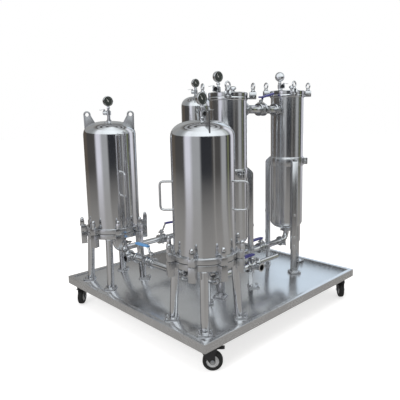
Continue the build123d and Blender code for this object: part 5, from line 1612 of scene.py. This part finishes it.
def clamp_table():
    """Places of the small clamps and of the link's larger ones."""
    left, front, rear = (HOUSINGS[name]["at"] for name in ("left", "front", "rear"))
    middle, right = (BAGS[name]["at"] for name in ("middle", "right"))
    wing = (*polar((0, 0), 1.0, CLAMP_WING_TURN), 0)
    small = [clamp_place((*spot, PIPE_HEIGHT + ELBOW_REACH), (0, 0, 1), wing)
             for spot in (left, rear, front, middle, right,
                          nozzle_spots("left")[1], nozzle_spots("front")[1])]
    large = []
    joints = {}
    for begin, end, height, _ in spool_table():
        for spot in (begin, end):
            joints[(round(spot[0], 2), round(spot[1], 2), height)] = abs(end[0] - begin[0]) > 1
    joints[(left[0], nozzle_spots("left")[1][1] - ELBOW_REACH, PIPE_HEIGHT)] = False
    joints[(FRONT_TEE_X + TEE_HALF, front[1], PIPE_HEIGHT)] = True
    for (x, y, height), runs_x in joints.items():
        along, wing = ((1, 0, 0), (0, -1, 0)) if runs_x else ((0, 1, 0), (-1, 0, 0))
        (large if height == LINK_HEIGHT else small).append(clamp_place((x, y, height), along, wing))
    return small, large


class FILTRATION_OT_stage(bpy.types.Operator):
    """Floor, lamps, surroundings and camera"""

    bl_idname = "filtration.stage"
    bl_label = "Stage"

    def execute(self, context):
        settings = context.scene.filtration_stage
        add_floor(settings)
        add_surroundings(context.scene)
        add_reflection_cards()
        add_lamps(settings)
        add_camera(context.scene, settings)
        context.scene.view_settings.view_transform = "Standard"
        return {"FINISHED"}


def background_share(tree):
    """Sum of the rays that should see the plain background: camera, glossy and transmission."""
    path = tree.nodes.new("ShaderNodeLightPath")
    total = path.outputs["Is Camera Ray"]
    for name in ("Is Glossy Ray", "Is Transmission Ray"):
        join = tree.nodes.new("ShaderNodeMath")
        join.operation = "MAXIMUM"
        tree.links.new(total, join.inputs[0])
        tree.links.new(path.outputs[name], join.inputs[1])
        total = join.outputs[0]
    return total


def add_stage_mesh(name, points, faces, material):
    mesh = bpy.data.meshes.new(name)
    mesh.from_pydata(points, [], faces)
    piece = bpy.data.objects.new(name, mesh)
    bpy.context.scene.collection.objects.link(piece)
    mesh.materials.append(material)
    return piece


def add_floor(settings):
    """Pale floor that keeps the skid's shadow and fades to white for the camera."""
    surface = Surface("floor_paint")
    surface.set(Base_Color=(*settings.floor_colour, 1), Roughness=0.9)
    share = Wire(surface, background_share(surface.tree))
    surface.set(Emission_Color=(1, 1, 1, 1), Emission_Strength=share * settings.floor_glow)
    corners = [(FLOOR_REACH * x, FLOOR_REACH * y, 0) for x, y in ((-1, -1), (1, -1), (1, 1), (-1, 1))]
    add_stage_mesh("floor", corners, [(0, 1, 2, 3)], surface.material)


def add_surroundings(scene):
    """A world that is white behind the skid and soft grey as light."""
    world = bpy.data.worlds.new("surroundings")
    world.use_nodes = True
    scene.world = world
    tree = world.node_tree
    back = tree.nodes["Background"]
    mix = tree.nodes.new("ShaderNodeMix")
    mix.data_type = "RGBA"
    tree.links.new(background_share(tree), mix.inputs["Factor"])
    mix.inputs[6].default_value = (0.55, 0.54, 0.53, 1)
    mix.inputs[7].default_value = (1, 1, 1, 1)
    tree.links.new(mix.outputs[2], back.inputs["Color"])


def add_reflection_cards():
    """Studio cards that only reflections see: a ring of upright panels and a card on the ground."""
    surface = Surface("reflection_card")
    tone = surface.node("ShaderNodeAttribute", {"attribute_name": "tone"})
    surface.set(Base_Color=(0, 0, 0, 1), Specular_IOR_Level=0.0, Emission_Color=tone, Emission_Strength=1.0)
    points = []
    tones = []
    for height, reach, tone, share in CARD_LEVELS:
        for column in range(CARD_COLUMNS):
            turn = 360.0 * column / CARD_COLUMNS - 180.0
            points.append((*polar((0, 0), CARD_RADIUS * reach, turn + CARD_FRONT), height))
            value = card_tone(turn, tone, share)
            if height > CARD_ROOF:
                value = value.lerp(Vector(CARD_TONES["band"]), sky_share(turn))
            tones.append(value)
    faces = []
    for level_index in range(len(CARD_LEVELS) - 1):
        for column in range(CARD_COLUMNS):
            following = (column + 1) % CARD_COLUMNS
            low, high = level_index * CARD_COLUMNS, (level_index + 1) * CARD_COLUMNS
            faces.append((low + column, low + following, high + following, high + column))
    cards = add_stage_mesh("reflection_cards", points, faces, surface.material)
    layer = cards.data.color_attributes.new("tone", "FLOAT_COLOR", "POINT")
    for item, value in zip(layer.data, tones):
        item.color = (*value, 1)
    for kind in ("camera", "diffuse", "shadow", "transmission", "volume_scatter"):
        setattr(cards, f"visible_{kind}", False)


def sky_share(turn):
    """How far the roof cards are bright at a turn: most near the camera's side."""
    return CARD_SKY_SHARE * max(0.0, cos(radians(turn - CARD_SKY_TURN)))


def card_tone(turn, tone, share):
    """Tone of the cards at a turn from the camera's side, mixed towards a plain tone."""
    before = max((stop for stop in CARD_STOPS if stop[0] <= turn), key=lambda stop: stop[0])
    after = min((stop for stop in CARD_STOPS if stop[0] > turn), key=lambda stop: stop[0], default=before)
    along = (turn - before[0]) / (after[0] - before[0]) if after is not before else 0.0
    wall = Vector(CARD_TONES[before[1]]).lerp(Vector(CARD_TONES[after[1]]), along)
    if tone == "band":
        share *= CARD_BAND_REST + (1.0 - CARD_BAND_REST) * max(0.0, cos(radians(turn - CARD_BAND_TURN)))
    return wall.lerp(Vector(CARD_TONES[tone]), share)


def add_lamp(name, at, aim, size, power, colour):
    lamp = bpy.data.lights.new(name, "AREA")
    lamp.shape = "RECTANGLE"
    lamp.size, lamp.size_y = size
    lamp.energy = power
    lamp.color = colour
    holder = bpy.data.objects.new(name, lamp)
    holder.visible_glossy = False
    facing = (Vector(at) - Vector(aim)).to_track_quat("Z", "Y").to_matrix().to_4x4()
    holder.matrix_world = Matrix.Translation(at) @ facing
    bpy.context.scene.collection.objects.link(holder)


def add_lamps(settings):
    aim = (0.0, 0.0, 0.7)
    add_lamp("key", (-4.2, -0.6, 3.2), aim, (1.2, 3.0), settings.key_power, (1.0, 0.99, 1.0))
    add_lamp("top", (0.0, -0.5, 4.6), aim, (4.0, 4.0), settings.key_power * 0.9, (1.0, 1.0, 1.0))


def add_camera(scene, settings):
    data = bpy.data.cameras.new("camera")
    data.lens = settings.lens
    data.shift_x, data.shift_y = CAMERA_SHIFT
    camera = bpy.data.objects.new("camera", data)
    camera.matrix_world = (Matrix.Translation(CAMERA_AT) @ Matrix.Rotation(radians(CAMERA_YAW), 4, "Z")
                           @ Matrix.Rotation(radians(90 + CAMERA_PITCH), 4, "X")
                           @ Matrix.Rotation(radians(CAMERA_ROLL), 4, "Z"))
    scene.collection.objects.link(camera)
    scene.camera = camera


class FILTRATION_PT_panel(bpy.types.Panel):
    """Lists the settings and the steps that build the skid"""

    bl_label = "Filtration skid"
    bl_idname = "FILTRATION_PT_panel"
    bl_space_type = "VIEW_3D"
    bl_region_type = "UI"
    bl_category = "Filtration"

    def draw(self, context):
        layout = self.layout
        for settings in (context.scene.filtration_finishes, context.scene.filtration_stage):
            for name in settings.__annotations__:
                layout.prop(settings, name)
        for operator in STEPS:
            layout.operator(operator.bl_idname)


STEPS = (
    FILTRATION_OT_deck,
    FILTRATION_OT_casters,
    FILTRATION_OT_bells,
    FILTRATION_OT_bases,
    FILTRATION_OT_bolting,
    FILTRATION_OT_lifting,
    FILTRATION_OT_gauges,
    FILTRATION_OT_bag_filters,
    FILTRATION_OT_pipework,
    FILTRATION_OT_valves,
    FILTRATION_OT_clamps,
    FILTRATION_OT_stage,
)
CLASSES = (FiltrationFinishes, FiltrationStage, *STEPS, FILTRATION_PT_panel)


def register():
    for cls in CLASSES:
        bpy.utils.register_class(cls)
    bpy.types.Scene.filtration_finishes = bpy.props.PointerProperty(type=FiltrationFinishes)
    bpy.types.Scene.filtration_stage = bpy.props.PointerProperty(type=FiltrationStage)


def unregister():
    del bpy.types.Scene.filtration_finishes
    del bpy.types.Scene.filtration_stage
    for cls in reversed(CLASSES):
        bpy.utils.unregister_class(cls)


def main():
    register()
    for step in STEPS:
        group, name = step.bl_idname.split(".")
        getattr(getattr(bpy.ops, group), name)()


if __name__ == "__main__":
    main()
